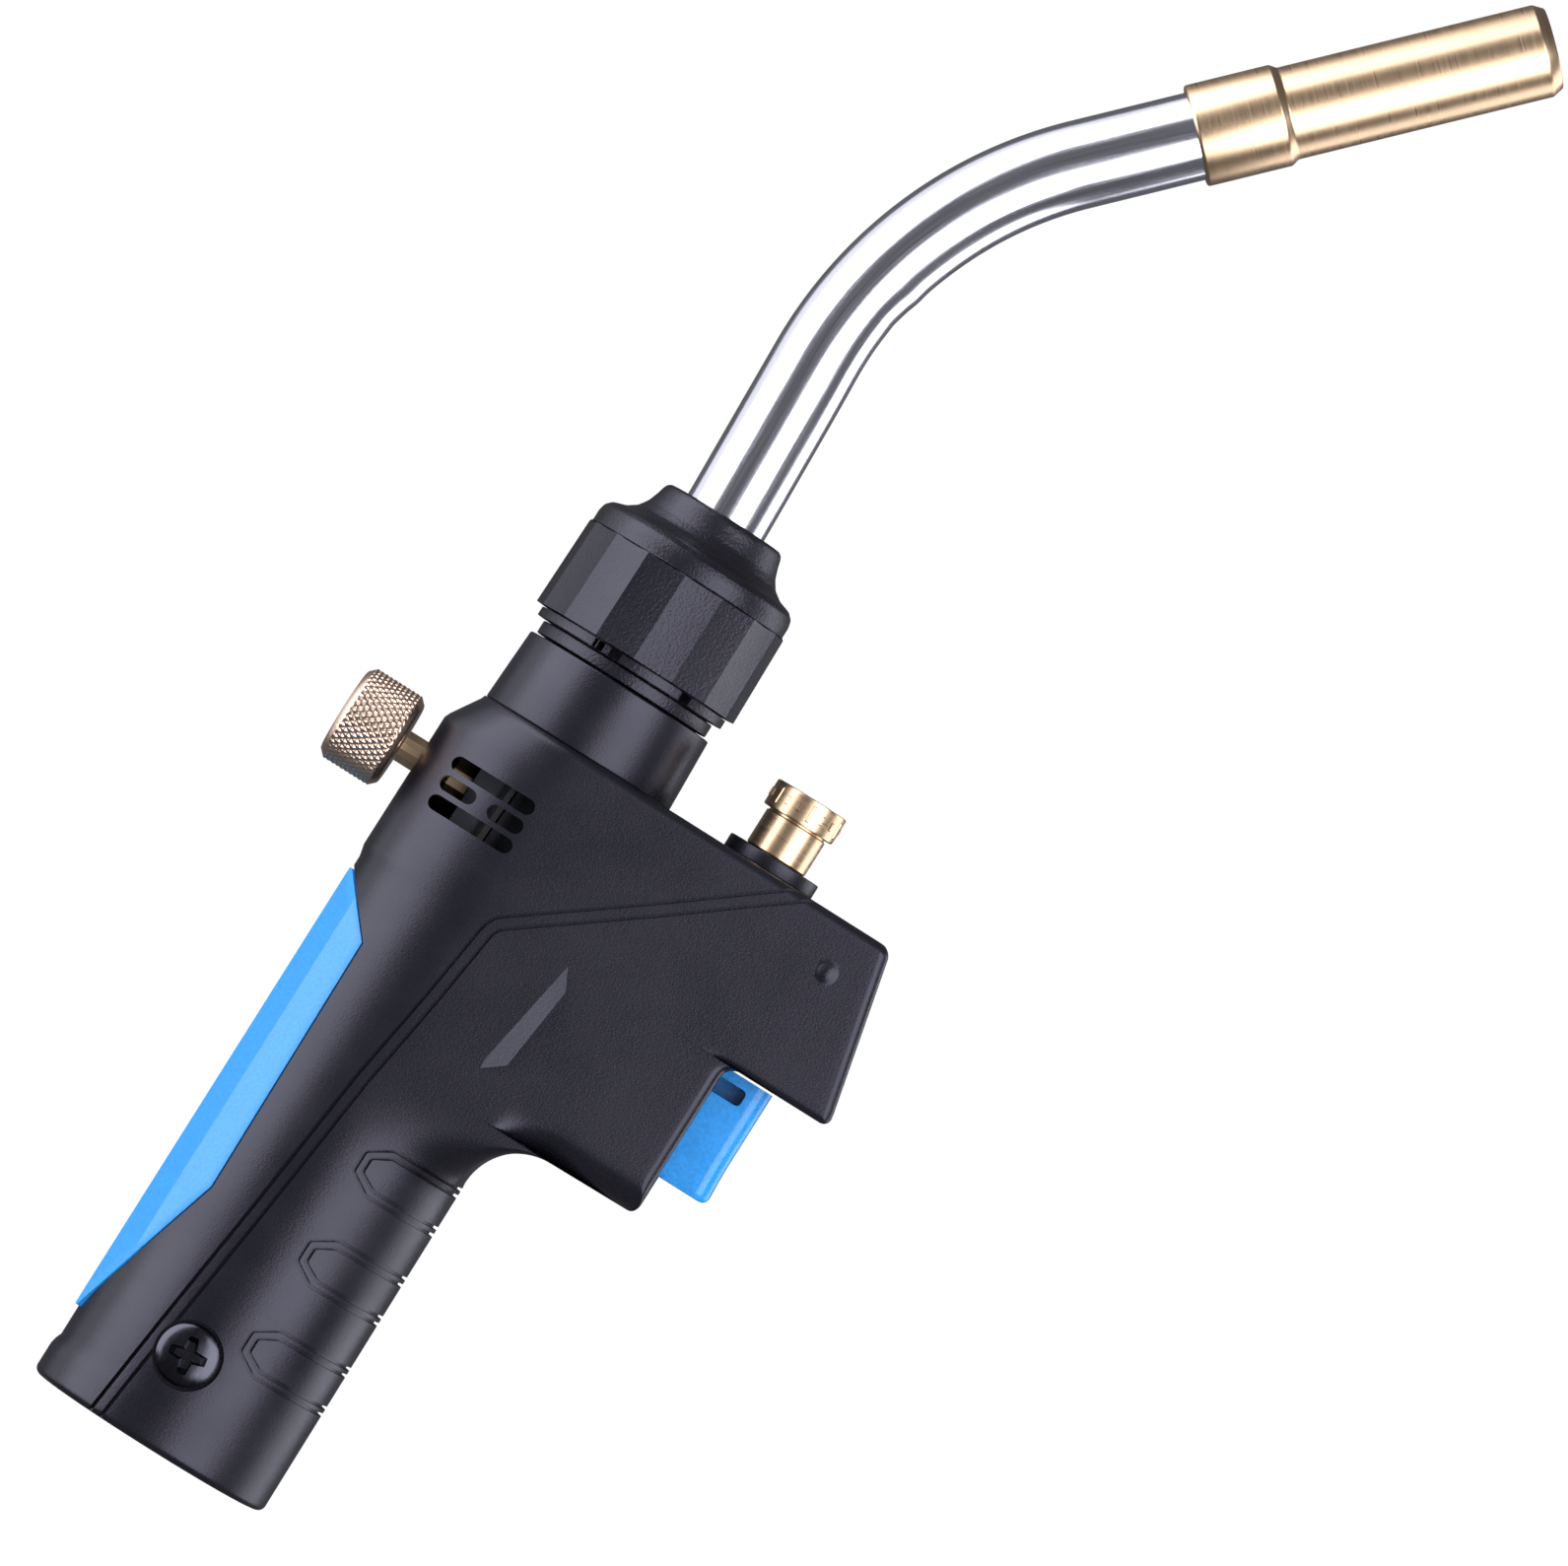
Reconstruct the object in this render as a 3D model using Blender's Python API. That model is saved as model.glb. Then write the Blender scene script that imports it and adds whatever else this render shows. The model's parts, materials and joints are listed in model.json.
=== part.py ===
"""Trigger-start propane torch head: moulded two-part grip, brass burner on a bent swivel tube.

Frame: metres, +Z up along the inlet and neck axis, +X forward (trigger and burner side),
origin on the inlet axis in the plane of the cylinder seat. The right-hand half is at -Y.
"""

import math

import bmesh
import bpy
from mathutils import Vector

MM = 0.001
GAP = 0.3                 # clearance between neighbouring pieces, mm
BIG = 30.0                # how far a through-cutter reaches past the body, mm

# moulded body, mm
OVAL_X = 0.45             # centre of the grip oval
HALF_WIDTH = 18.0         # half of the body's thickness
WALL = 2.6
TOP_Z = 124.6
GRIP_FRONT, GRIP_FOOT = 20.7, 21.1
THROAT_X, THROAT_Z, THROAT_R = 30.4, 59.5, 9.8   # round between grip and trigger block
BLOCK_Z, BLOCK_FRONT = 69.4, 45.2                # trigger block underside and front
NOSE_Z, NOSE_FRONT, NOSE_TOP = 96.4, 63.0, 57.3  # nose underside, its foot and its top
EDGE = 1.3                # rounding on the block's edges
CORNER = 3.0              # upright corners of the block
BACK_LINE = ((0, -20.2), (5.5, -20.2), (7.0, -19.6), (93.5, -19.95), (95.4, -20.4),
             (118.8, -20.3), (124.0, -17.0), (124.6, -16.8))
PANEL_LINE = ((-27.9, -15.0), (-19.8, 11.4), (-11.4, 38.7), (-11.8, 82.5), (-20.3, 92.3), (-28.0, 101.2))
PANEL_DEPTH = 1.7
FINGER_Z = (21.1, 37.4, 53.5)
FINGER_DEPTH = 0.5
VENTS = ((113.4, -15.25, -0.4), (110.0, -15.25, -8.9), (110.0, -6.6, -0.35), (106.6, -15.2, -0.2))
VENT_HEIGHT = 2.5
BOSS_OUTER = 3.4          # radius of the posts inside that take screws and the lever's pin

# gas inlet and regulator, mm
SOCKET_R, SOCKET_DEPTH = 12.8, 11.0   # 1 inch cylinder thread
FITTING_R, FITTING_TOP, BOSS_R, BOSS_TOP = 14.7, 19.0, 8.0, 27.0
INLET_BORE = 3.0
REG_R, REG_LOW, REG_HIGH = 13.0, 19.4, 46.0
CHAMBER_R, CHAMBER_LOW = 10.0, 31.0
CAP_HIGH, CAP_ROOF, CAP_BORE = 63.0, 60.0, 8.2
OUTLET_Z = 38.0
PIPE_AT = (11.5, 9.6)
PIPE_R, PIPE_BORE = 1.6, 0.9
PORT_AT = (6.0, 3.0)

# valve block, mm
VALVE_X, VALVE_Y, VALVE_LOW, VALVE_HIGH = 11.0, 8.0, 96.0, 117.0
STEM_Z, STEM_R, STEM_BORE = 101.5, 1.6, 3.2
STEM_IN, STEM_OUT = -3.0, 25.7
FLAME_Z, FLAME_R, FLAME_BORE = 111.3, 2.65, 2.95
JET_BORE = 2.2

# trigger train, mm
TRIGGER_REAR, TRIGGER_FRONT, TRIGGER_LOW, TRIGGER_HIGH, TRIGGER_HALF = 38.0, 53.8, 76.3, 96.0, 10.0
SLOT_LOW, SLOT_HIGH, SLOT_END = 91.7, 94.4, 50.0
PIEZO_Z, PIEZO_R, PIEZO_BORE = 82.0, 5.0, 3.6
PIEZO_REAR, PIEZO_FRONT = 4.0, 30.0
PLUNGER_R = 3.2
LEVER_X, LEVER_Z, LEVER_HALF = 27.0, 113.0, 4.0
PIN_R = 1.5

# neck, nut and burner, mm
NECK_R, NECK_TOP_R, NECK_TOP = 16.6, 16.1, 136.8
RING_R, RING_LOW, RING_HIGH = 15.25, 137.1, 139.2
FLANGE_R, FLANGE_LOW, FLANGE_HIGH = 16.6, 139.5, 140.9
SPIGOT_R, SPIGOT_TOP = 14.0, 149.6
NUT_LOW, NUT_TOP, NUT_HOLE = 141.2, 167.3, 7.35
NUT_OUTER = ((17.85, 141.2), (17.5, 156.2), (17.1, 156.3), (17.1, 158.4), (16.7, 159.7), (15.4, 160.4),
             (13.5, 160.9), (12.1, 162.2), (11.2, 163.7), (10.7, 165.0), (10.45, 166.5), (9.8, 167.3))
NUT_FACETS, FLAT_SHARE = 16, 0.975    # a flat's middle lies at this share of its ridge's radius
TUBE_R, TUBE_BORE = 6.9, 6.1
TUBE_FOOT, TUBE_BEND_R = 143.0, 65.0
LEAN_BACK, LEAN_FORWARD = math.radians(-2.24), math.radians(44.0)
TIP_LENGTH, SOCKET_LENGTH, TIP_SOCKET_R, TIP_R, MOUTH_R = 56.8, 14.6, 8.0, 7.275, 5.75

# knobs, mm
LOCK_X, LOCK_HEAD_R, LOCK_STEM_R, LOCK_SHAFT_R = 34.4, 6.15, 5.2, 3.0
COLLAR_R, COLLAR_HIGH = 7.9, 126.8
FLAME_KNOB_R, FLAME_KNOB_BACK, FLAME_KNOB_FRONT = 8.05, -34.0, -23.7
GRIP_SCREW = (-1.3, 14.4)
BODY_SCREWS = {"housing_screw_front": (50.4, 116.3), "housing_screw_middle": (22.5, 72.0)}

COLOURS = {
    "moulded_black": ((0.045, 0.042, 0.058), 0.0, 0.45), "nut_black": ((0.03, 0.03, 0.036), 0.0, 0.55),
    "panel_blue": ((0.09, 0.42, 0.95), 0.0, 0.35), "trigger_blue": ((0.05, 0.33, 0.85), 0.0, 0.35),
    "brass": ((0.78, 0.57, 0.27), 1.0, 0.28), "rose_brass": ((0.76, 0.52, 0.36), 1.0, 0.35),
    "stainless": ((0.72, 0.71, 0.72), 1.0, 0.22), "screw_black": ((0.02, 0.02, 0.022), 0.9, 0.3),
    "steel": ((0.5, 0.5, 0.52), 1.0, 0.35), "rubber": ((0.015, 0.015, 0.016), 0.0, 0.8),
    "ceramic": ((0.85, 0.83, 0.78), 0.0, 0.3), "wire_black": ((0.02, 0.02, 0.02), 0.0, 0.5),
    "cast_zinc": ((0.45, 0.45, 0.47), 1.0, 0.5), "piezo_black": ((0.03, 0.03, 0.03), 0.0, 0.5),
}


def clear_scene():
    for old in list(bpy.data.objects):
        bpy.data.objects.remove(old, do_unlink=True)


def material(kind):
    made = bpy.data.materials.get(kind)
    if made is None:
        colour, metallic, roughness = COLOURS[kind]
        made = bpy.data.materials.new(kind)
        made.use_nodes = True
        shader = made.node_tree.nodes["Principled BSDF"]
        shader.inputs["Base Color"].default_value = (*colour, 1.0)
        shader.inputs["Metallic"].default_value = metallic
        shader.inputs["Roughness"].default_value = roughness
    return made


def finish(name, bm, kind, origin=(0.0, 0.0, 0.0), smooth=True):
    """Turns a bmesh drawn in millimetres into an object whose own origin is at `origin`."""
    bmesh.ops.recalc_face_normals(bm, faces=bm.faces)
    for vert in bm.verts:
        vert.co = (vert.co - Vector(origin)) * MM
    mesh = bpy.data.meshes.new(name)
    bm.to_mesh(mesh)
    bm.free()
    obj = bpy.data.objects.new(name, mesh)
    obj.location = Vector(origin) * MM
    bpy.context.scene.collection.objects.link(obj)
    if kind:
        mesh.materials.append(material(kind))
    if smooth:
        mesh.shade_smooth()
        mesh.set_sharp_from_angle(angle=math.radians(35))
    return obj


def helper(obj):
    obj.hide_render = True
    obj.display_type = "WIRE"
    return obj


def combine(target, other, operation="DIFFERENCE"):
    step = target.modifiers.new(operation.title(), "BOOLEAN")
    step.operation = operation
    step.solver = "EXACT"
    step.object = helper(other)
    return target


def bridge(bm, lower, upper):
    """Quads between two rings of equally many vertices."""
    count = len(lower)
    for i in range(count):
        j = (i + 1) % count
        bm.faces.new((lower[i], lower[j], upper[j], upper[i]))


def frame_of(direction):
    """Two directions square to `direction`, the first as near world Y as it can be."""
    along = Vector(direction).normalized()
    side = Vector((0, 1, 0))
    side = (side - along * side.dot(along)) if abs(side.dot(along)) < 0.9 else Vector((1, 0, 0))
    side = (side - along * side.dot(along)).normalized()
    return side, along.cross(side)


def lathe(bm, profile, centre=(0, 0, 0), axis=(0, 0, 1), steps=40):
    """Body of revolution. `profile` is (radius, height) pairs: a closed loop, or a chain that
    starts and ends on the axis."""
    along = Vector(axis).normalized()
    side, over = frame_of(along)
    on_axis = profile[0][0] == 0
    rings = []
    for radius, height in profile:
        base = Vector(centre) + along * height
        if radius == 0:
            rings.append([bm.verts.new(base)])
            continue
        turns = [2 * math.pi * (k + 0.5) / steps for k in range(steps)]
        rings.append([bm.verts.new(base + radius * (math.cos(t) * side + math.sin(t) * over)) for t in turns])
    pairs = list(zip(rings, rings[1:])) + ([] if on_axis else [(rings[-1], rings[0])])
    for low, high in pairs:
        if len(low) == 1 or len(high) == 1:
            point, ring = (low[0], high) if len(low) == 1 else (high[0], low)
            for k in range(steps):
                bm.faces.new((point, ring[k], ring[(k + 1) % steps]))
        else:
            bridge(bm, low, high)


def turned(name, profile, kind, centre=(0, 0, 0), axis=(0, 0, 1), steps=40, origin=(0, 0, 0)):
    bm = bmesh.new()
    lathe(bm, profile, centre, axis, steps)
    return finish(name, bm, kind, origin)


def rod(radius, low, high):
    return [(0, low), (radius, low), (radius, high), (0, high)]


def ring(inner, outer, low, high):
    return [(inner, low), (outer, low), (outer, high), (inner, high)]


def add_box(bm, low, high):
    made = bmesh.ops.create_cube(bm, size=1.0)["verts"]
    for vert in made:
        vert.co = Vector([(a + b) / 2 + c * (b - a) for a, b, c in zip(low, high, vert.co)])


def add_prism(bm, outline, low=-BIG, high=BIG):
    """Side outline of (x, z) points drawn through the body's thickness from y=low to y=high."""
    near = [bm.verts.new((x, low, z)) for x, z in outline]
    far = [bm.verts.new((x, high, z)) for x, z in outline]
    bridge(bm, near, far)
    bm.faces.new(near)
    bm.faces.new(far)


def sweep(bm, path, radius, bore=0.0, steps=12):
    """Round bar, or tube if `bore` is given, along a list of points."""
    points = [Vector(p) for p in path]
    side = None
    rings = []
    for k, point in enumerate(points):
        along = (points[min(k + 1, len(points) - 1)] - points[max(k - 1, 0)]).normalized()
        if side is None:
            side = frame_of(along)[0]
        side = (side - along * side.dot(along)).normalized()
        over = along.cross(side)
        turns = [(math.cos(2 * math.pi * j / steps) * side + math.sin(2 * math.pi * j / steps) * over)
                 for j in range(steps)]
        rings.append([[bm.verts.new(point + r * t) for t in turns]
                      for r in ((radius, bore) if bore else (radius,))])
    for low, high in zip(rings, rings[1:]):
        for a, b in zip(low, high):
            bridge(bm, a, b)
    for end in (rings[0], rings[-1]):
        if bore:
            bridge(bm, end[0], end[1])
        else:
            bm.faces.new(end[0])


def rounded_path(corners, radius, steps=6):
    """Polyline whose inner corners are replaced with arcs."""
    points = [Vector(c) for c in corners]
    path = [points[0]]
    for before, corner, after in zip(points, points[1:], points[2:]):
        into, out = (before - corner).normalized(), (after - corner).normalized()
        half = into.angle(out) / 2
        reach = radius / math.tan(half)
        centre = corner + (into + out).normalized() * (radius / math.sin(half))
        start, end = corner + into * reach - centre, corner + out * reach - centre
        turn = start.angle(end)
        for k in range(steps + 1):
            share = k / steps
            path.append(centre + (start * math.sin((1 - share) * turn) + end * math.sin(share * turn))
                        / math.sin(turn))
    return path + [points[-1]]


def coil(name, kind, low, high, radius, wire, turns, centre, axis, origin=(0, 0, 0)):
    """Compression spring along `axis`, its wire ends lying just inside low and high."""
    along = Vector(axis)
    side, over = frame_of(along)
    steps = 8 * turns
    path = []
    for k in range(steps + 1):
        t = 2 * math.pi * turns * k / steps
        height = low + wire + (high - low - 2 * wire) * k / steps
        path.append(Vector(centre) + along * height + radius * (math.cos(t) * side + math.sin(t) * over))
    bm = bmesh.new()
    sweep(bm, path, wire, steps=4)
    return finish(name, bm, kind, origin)


# ---- moulded body ---------------------------------------------------------------------------
def along_line(line, z):
    for (z0, x0), (z1, x1) in zip(line, line[1:]):
        if z <= z1:
            return x0 + (x1 - x0) * (z - z0) / (z1 - z0)
    return line[-1][1]


def body_rows(inset):
    """(height, front, squareness, edge rounding) of each level section, bottom to top."""
    nose = ((NOSE_Z, NOSE_FRONT), (98.0, NOSE_FRONT), (123.0, NOSE_TOP), (TOP_Z, NOSE_TOP - 1.9))
    rows = [(inset, GRIP_FOOT, 0.0, 0.0)]
    if not inset:
        rows = [(0.0, GRIP_FOOT, 0.0, 1.2), (0.4, GRIP_FOOT, 0.0, 0.4), (1.2, GRIP_FOOT, 0.0, 0.0)]
    rows += [(z, GRIP_FRONT + 0.4 * (1 - z / 55), 0.0, 0.0) for z in (5.5, 7.0, 30.0, 54.0)]
    for k in range(7):
        turn = math.radians(15 * k)
        reach = THROAT_R + inset
        height = THROAT_Z + reach * math.sin(turn)
        blend = min(1.0, (height - 54.0) / (BLOCK_Z - 54.0))
        rows.append((height, THROAT_X - reach * math.cos(turn) + inset, blend * blend * (3 - 2 * blend), 0.0))
    floor = BLOCK_Z + inset
    if inset:
        rows += [(floor + 0.1, BLOCK_FRONT, 1.0, 0.0), (NOSE_Z + inset - 0.1, BLOCK_FRONT, 1.0, 0.0),
                 (NOSE_Z + inset, NOSE_FRONT, 1.0, 0.0), (TOP_Z - inset, NOSE_TOP, 1.0, 0.0)]
        return rows
    rows += [(floor + 0.1, BLOCK_FRONT, 1.0, EDGE), (floor + 0.5, BLOCK_FRONT, 1.0, 0.4),
             (floor + EDGE + 0.1, BLOCK_FRONT, 1.0, 0.0), (93.6, BLOCK_FRONT, 1.0, 0.0),
             (95.0, BLOCK_FRONT + 0.35, 1.0, 0.0), (96.3, BLOCK_FRONT + 1.8, 1.0, 0.0),
             (NOSE_Z, NOSE_FRONT, 1.0, EDGE), (NOSE_Z + 0.4, NOSE_FRONT, 1.0, 0.4),
             (NOSE_Z + EDGE, NOSE_FRONT, 1.0, 0.0)]
    rows += [(z, along_line(nose, z), 1.0, cut) for z, cut in
             ((118.8, 0.0), (122.4, 0.0), (123.4, 0.2), (124.1, 0.6), (TOP_Z, 1.6))]
    return rows


def section(row, inset):
    """Closed ring of points at one level: an oval grip that squares off into the flat-sided block."""
    height, front, square, cut = row
    back = OVAL_X - along_line(BACK_LINE, height) - inset
    half = HALF_WIDTH - inset
    if height > 122.0 or height < 1.3:
        half -= cut
        back -= cut * (height < 1.3)
    reach = front - OVAL_X - inset - cut
    upper = []
    for k in range(8):
        turn = math.radians(180 - 11.25 * k)
        upper.append((OVAL_X + back * math.cos(turn), half * math.sin(turn)))
    corner = min(CORNER, half / 2)
    box = [(OVAL_X + (reach - corner) * k / 6, half) for k in range(6)]
    box += [(OVAL_X + reach - corner + corner * math.sin(math.radians(a)),
             half - corner + corner * math.cos(math.radians(a))) for a in (0, 22.5, 45, 67.5, 90)]
    box += [(OVAL_X + reach, (half - corner) * (1 - k / 3)) for k in (1, 2, 3)]
    for k, (x, y) in enumerate(box):
        turn = math.radians(90 - 90 * k / (len(box) - 1))
        x = square * x + (1 - square) * (OVAL_X + reach * math.cos(turn))
        y = square * y + (1 - square) * half * math.sin(turn)
        if 1.3 < height < 122.0 and cut:
            start, run = (GRIP_FRONT, 8.0) if height < NOSE_Z - 1 else (BLOCK_FRONT - 3.0, 3.0)
            y = min(y, half - cut * min(1.0, max(0.0, (x - start) / run)))
        upper.append((x, max(0.0, y)))
    lower = [(x, -y) for x, y in upper[1:-1]][::-1]
    return [(x, y, height) for x, y in upper + lower]


def body_solid(name, inset, stretch=0.0):
    """The body's outer form, drawn in by `inset`; `stretch` pushes its flat ends past the real ones."""
    bm = bmesh.new()
    rings = []
    rows = body_rows(inset)
    for k, row in enumerate(rows):
        points = section(row, inset)
        lift = -stretch if k == 0 else stretch if k == len(rows) - 1 else 0.0
        rings.append([bm.verts.new((x, y, z + lift)) for x, y, z in points])
    for low, high in zip(rings, rings[1:]):
        bridge(bm, low, high)
    bm.faces.new(rings[0])
    bm.faces.new(rings[-1])
    bmesh.ops.triangulate(bm, faces=bm.faces)
    return finish(name, bm, None, smooth=False)


def offset_line(line, shift):
    """The polyline moved sideways by `shift` (positive is forward and down)."""
    moved = []
    for k, (x, z) in enumerate(line):
        ax, az = line[max(k - 1, 0)]
        bx, bz = line[min(k + 1, len(line) - 1)]
        if 0 < k < len(line) - 1:
            first = Vector((x - ax, z - az)).normalized()
            second = Vector((bx - x, bz - z)).normalized()
            middle = (first + second).normalized()
            reach = shift / max(0.4, middle.dot(first))
        else:
            middle, reach = Vector((bx - ax, bz - az)).normalized(), shift
        moved.append((x + middle.y * reach, z - middle.x * reach))
    return moved


def finger_outline(z):
    """Flat U open to the front, its closed end cut to half an octagon."""
    outer, inner = 3.9, 2.8
    return [(BIG, z + outer), (8.8, z + outer), (5.5, z + 1.7), (5.5, z - 1.7), (8.8, z - outer),
            (BIG, z - outer), (BIG, z - inner), (9.4, z - inner), (7.1, z - 1.2), (7.1, z + 1.2),
            (9.4, z + inner), (BIG, z + inner)]


def slot_outline(z, x0, x1, height):
    r = height / 2
    turns = [math.radians(a) for a in range(0, 181, 30)]
    left = [(x0 + r - r * math.sin(t), z + r * math.cos(t)) for t in turns]
    right = [(x1 - r + r * math.sin(t), z - r * math.cos(t)) for t in turns]
    return left + right


def surface_cutter(name, outlines, depth):
    """What has to be taken off the body to sink these side outlines into its skin by `depth`."""
    bm = bmesh.new()
    for outline in outlines:
        add_prism(bm, outline)
    cutter = finish(name, bm, None, smooth=False)
    return combine(cutter, body_solid(name + "_core", depth, stretch=6.0))


def inner_frame(name, side):
    """Ribs, bosses and rails on the inside of one half. They run into its wall by 0.4 mm."""
    bm = bmesh.new()
    wall = HALF_WIDTH - WALL + 0.4

    def rib(x0, x1, z0, z1, y0):
        y = sorted((side * y0, side * wall))
        add_box(bm, (x0, y[0], z0), (x1, y[1], z1))

    rib(3.0, 5.5, 97.0, 117.0, VALVE_Y + GAP)
    rib(20.0, 22.0, 76.6, 88.0, PIEZO_R + GAP)
    rib(34.0, 41.7, SLOT_LOW + 0.4, SLOT_HIGH - 0.4, 8.4)
    rib(33.0, 41.5, 73.6, TRIGGER_LOW - 2 * GAP, 2.0)
    return finish(name, bm, None, smooth=False)


def bosses(name, side):
    bm = bmesh.new()
    wall = HALF_WIDTH - WALL + 0.4
    for x, z, tip in [(x, z, 0.4) for x, z in BODY_SCREWS.values()] + [(LEVER_X, LEVER_Z, 5.0)]:
        lathe(bm, rod(BOSS_OUTER, tip, wall), (x, 0, z), (0, side, 0), 20)
    return finish(name, bm, None, smooth=False)


def drillings(name, side):
    """Screw holes and counterbores, pin sockets, grip-screw hole."""
    bm = bmesh.new()
    x, z = GRIP_SCREW
    if side < 0:
        lathe(bm, [(0, 10), (2.3, 10), (2.3, 16.2), (5.5, 16.2), (5.5, BIG), (0, BIG)],
              (x, 0, z), (0, -1, 0), 24)
    for x, z in BODY_SCREWS.values():
        if side > 0:
            lathe(bm, [(0, -1), (1.6, -1), (1.6, 9.0), (3.1, 9.0), (3.1, BIG), (0, BIG)],
                  (x, 0, z), (0, 1, 0), 18)
        else:
            lathe(bm, rod(1.6, -1, 12.0), (x, 0, z), (0, -1, 0), 18)
    lathe(bm, rod(PIN_R + 0.3, 3.0, 12.4), (LEVER_X, 0, LEVER_Z), (0, side, 0), 16)
    return finish(name, bm, None, smooth=False)


def openings():
    """Round and square holes that both halves share."""
    rounds = ((rod(FITTING_R + GAP, -BIG, WALL + 1), (0, 0, 0), (0, 0, 1), 48),
              (rod(SPIGOT_R + GAP, TOP_Z - WALL - 1, TOP_Z + BIG), (0, 0, 0), (0, 0, 1), 48),
              (rod(LOCK_SHAFT_R + 0.4, TOP_Z - WALL - 1, TOP_Z + BIG), (LOCK_X, 0, 0), (0, 0, 1), 24),
              (rod(FLAME_R + 0.45, -BIG, -16.0), (0, 0, FLAME_Z), (1, 0, 0), 24))
    for profile, centre, axis, steps in rounds:
        bm = bmesh.new()
        lathe(bm, profile, centre, axis, steps)
        yield bm
    bm = bmesh.new()
    add_box(bm, (42.0, -TRIGGER_HALF - GAP, TRIGGER_LOW - GAP), (48.5, TRIGGER_HALF + GAP, NOSE_Z - 0.1))
    yield bm


def housing(name, side):
    half = body_solid(name, 0.0)
    half.data.materials.append(material("moulded_black"))
    combine(half, body_solid(name + "_inside", WALL))
    bm = bmesh.new()
    y = sorted((side * GAP / 2, side * -2 * BIG))
    add_box(bm, (-80, y[0], -50), (120, y[1], 200))
    combine(half, finish(name + "_parting", bm, None, smooth=False))
    for z, x0, x1 in VENTS:
        bm = bmesh.new()
        add_prism(bm, slot_outline(z, x0, x1, VENT_HEIGHT))
        combine(half, finish(f"{name}_vent_{x0:g}_{z:g}", bm, None, smooth=False))
    combine(half, surface_cutter(name + "_panel_seat", [PANEL_LINE], PANEL_DEPTH))
    combine(half, surface_cutter(name + "_grooves", [finger_outline(z) for z in FINGER_Z], FINGER_DEPTH))
    combine(half, bosses(name + "_bosses", side), "UNION")
    combine(half, inner_frame(name + "_ribs", side), "UNION")
    for k, bm in enumerate(openings()):
        combine(half, finish(f"{name}_opening_{k}", bm, None, smooth=False))
    combine(half, drillings(name + "_drillings", side))
    return half


def back_panel():
    panel = body_solid("back_panel", 0.0)
    panel.data.materials.append(material("panel_blue"))
    combine(panel, body_solid("back_panel_inside", PANEL_DEPTH - 0.25, stretch=6.0))
    bm = bmesh.new()
    add_prism(bm, offset_line(PANEL_LINE, -0.3))
    return combine(panel, finish("back_panel_edge", bm, None, smooth=False), "INTERSECT")


# ---- screws and small turned pieces ---------------------------------------------------------
def cross_head_screw(name, kind, at, out, head_r, head_face, head_base, shank_r, tip):
    """Pan-head screw along `out`, with a cross recess in its head. Heights run outwards."""
    crown = [(0, tip), (shank_r, tip), (shank_r, head_base), (head_r, head_base),
             (head_r, head_face - 0.7), (head_r - 0.8, head_face), (0, head_face)]
    screw = turned(name, crown, kind, (at[0], 0, at[1]), out, 20)
    reach, arm = head_r * 0.6, head_r * 0.14
    for k, (wide, tall) in enumerate(((reach, arm), (arm, reach))):
        bm = bmesh.new()
        y = sorted((out[1] * (head_face - 1.3), out[1] * (head_face + 2)))
        add_box(bm, (at[0] - wide, y[0], at[1] - tall), (at[0] + wide, y[1], at[1] + tall))
        combine(screw, finish(f"{name}_recess_{k}", bm, None, smooth=False))
    return screw


def tube_path():
    """Centre line of the burner tube, and where its last straight ends."""
    x, z, heading = 0.0, TUBE_FOOT, 0.0
    path = [(x, 0, z), (x, 0, 164.0)]
    z = 164.0
    bends = ((LEAN_BACK, 150.0, 2, 25.1), (LEAN_FORWARD, TUBE_BEND_R, 11, 18.3))
    for target, radius, steps, straight in bends:
        turn = (target - heading) / steps
        for _ in range(steps):
            middle = heading + turn / 2
            length = abs(turn) * radius
            x, z, heading = x + length * math.sin(middle), z + length * math.cos(middle), heading + turn
            path.append((x, 0, z))
        x, z = x + straight * math.sin(heading), z + straight * math.cos(heading)
        path.append((x, 0, z))
    return path


def faceted_nut():
    """Coupling nut: sixteen flats round the outside, a plain bore below and the tube hole above."""
    bm = bmesh.new()
    steps = NUT_FACETS * 2
    rings = []
    inner = ((NUT_HOLE, NUT_TOP), (NUT_HOLE, 154.6), (14.35, 154.6), (14.35, NUT_LOW))
    for radius, height in NUT_OUTER + inner:
        flat = height < NUT_OUTER[2][1] and radius > SPIGOT_R + 1
        points = []
        for k in range(steps):
            turn = 2 * math.pi * (k + 0.5) / steps
            r = radius * (1.0 if not flat or k % 2 else FLAT_SHARE)
            points.append(bm.verts.new((r * math.cos(turn), r * math.sin(turn), height)))
        rings.append(points)
    for low, high in zip(rings, rings[1:] + rings[:1]):
        bridge(bm, low, high)
    return finish("coupling_nut", bm, "nut_black")


def notched_ring():
    """Thin collar whose rim is cut into teeth."""
    bm = bmesh.new()
    steps = 48
    rings = []
    for inner, height in ((False, FLANGE_LOW), (False, FLANGE_HIGH), (True, FLANGE_HIGH), (True, FLANGE_LOW)):
        points = []
        for k in range(steps):
            turn = 2 * math.pi * k / steps
            r = SPIGOT_R + GAP if inner else FLANGE_R - (1.0 if k % 4 == 0 else 0.0)
            points.append(bm.verts.new((r * math.cos(turn), r * math.sin(turn), height)))
        rings.append(points)
    for low, high in zip(rings, rings[1:] + rings[:1]):
        bridge(bm, low, high)
    return finish("notched_ring", bm, "nut_black")


def build_body():
    housing("housing_right", -1)
    housing("housing_left", 1)
    back_panel()
    cross_head_screw("grip_screw", "screw_black", GRIP_SCREW, (0, -1, 0), 5.0, 18.0, 16.5, 1.9, 9.5)
    for name, at in BODY_SCREWS.items():
        cross_head_screw(name, "screw_black", at, (0, 1, 0), 2.8, 11.3, 9.3, 1.3, -10.0)


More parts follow.
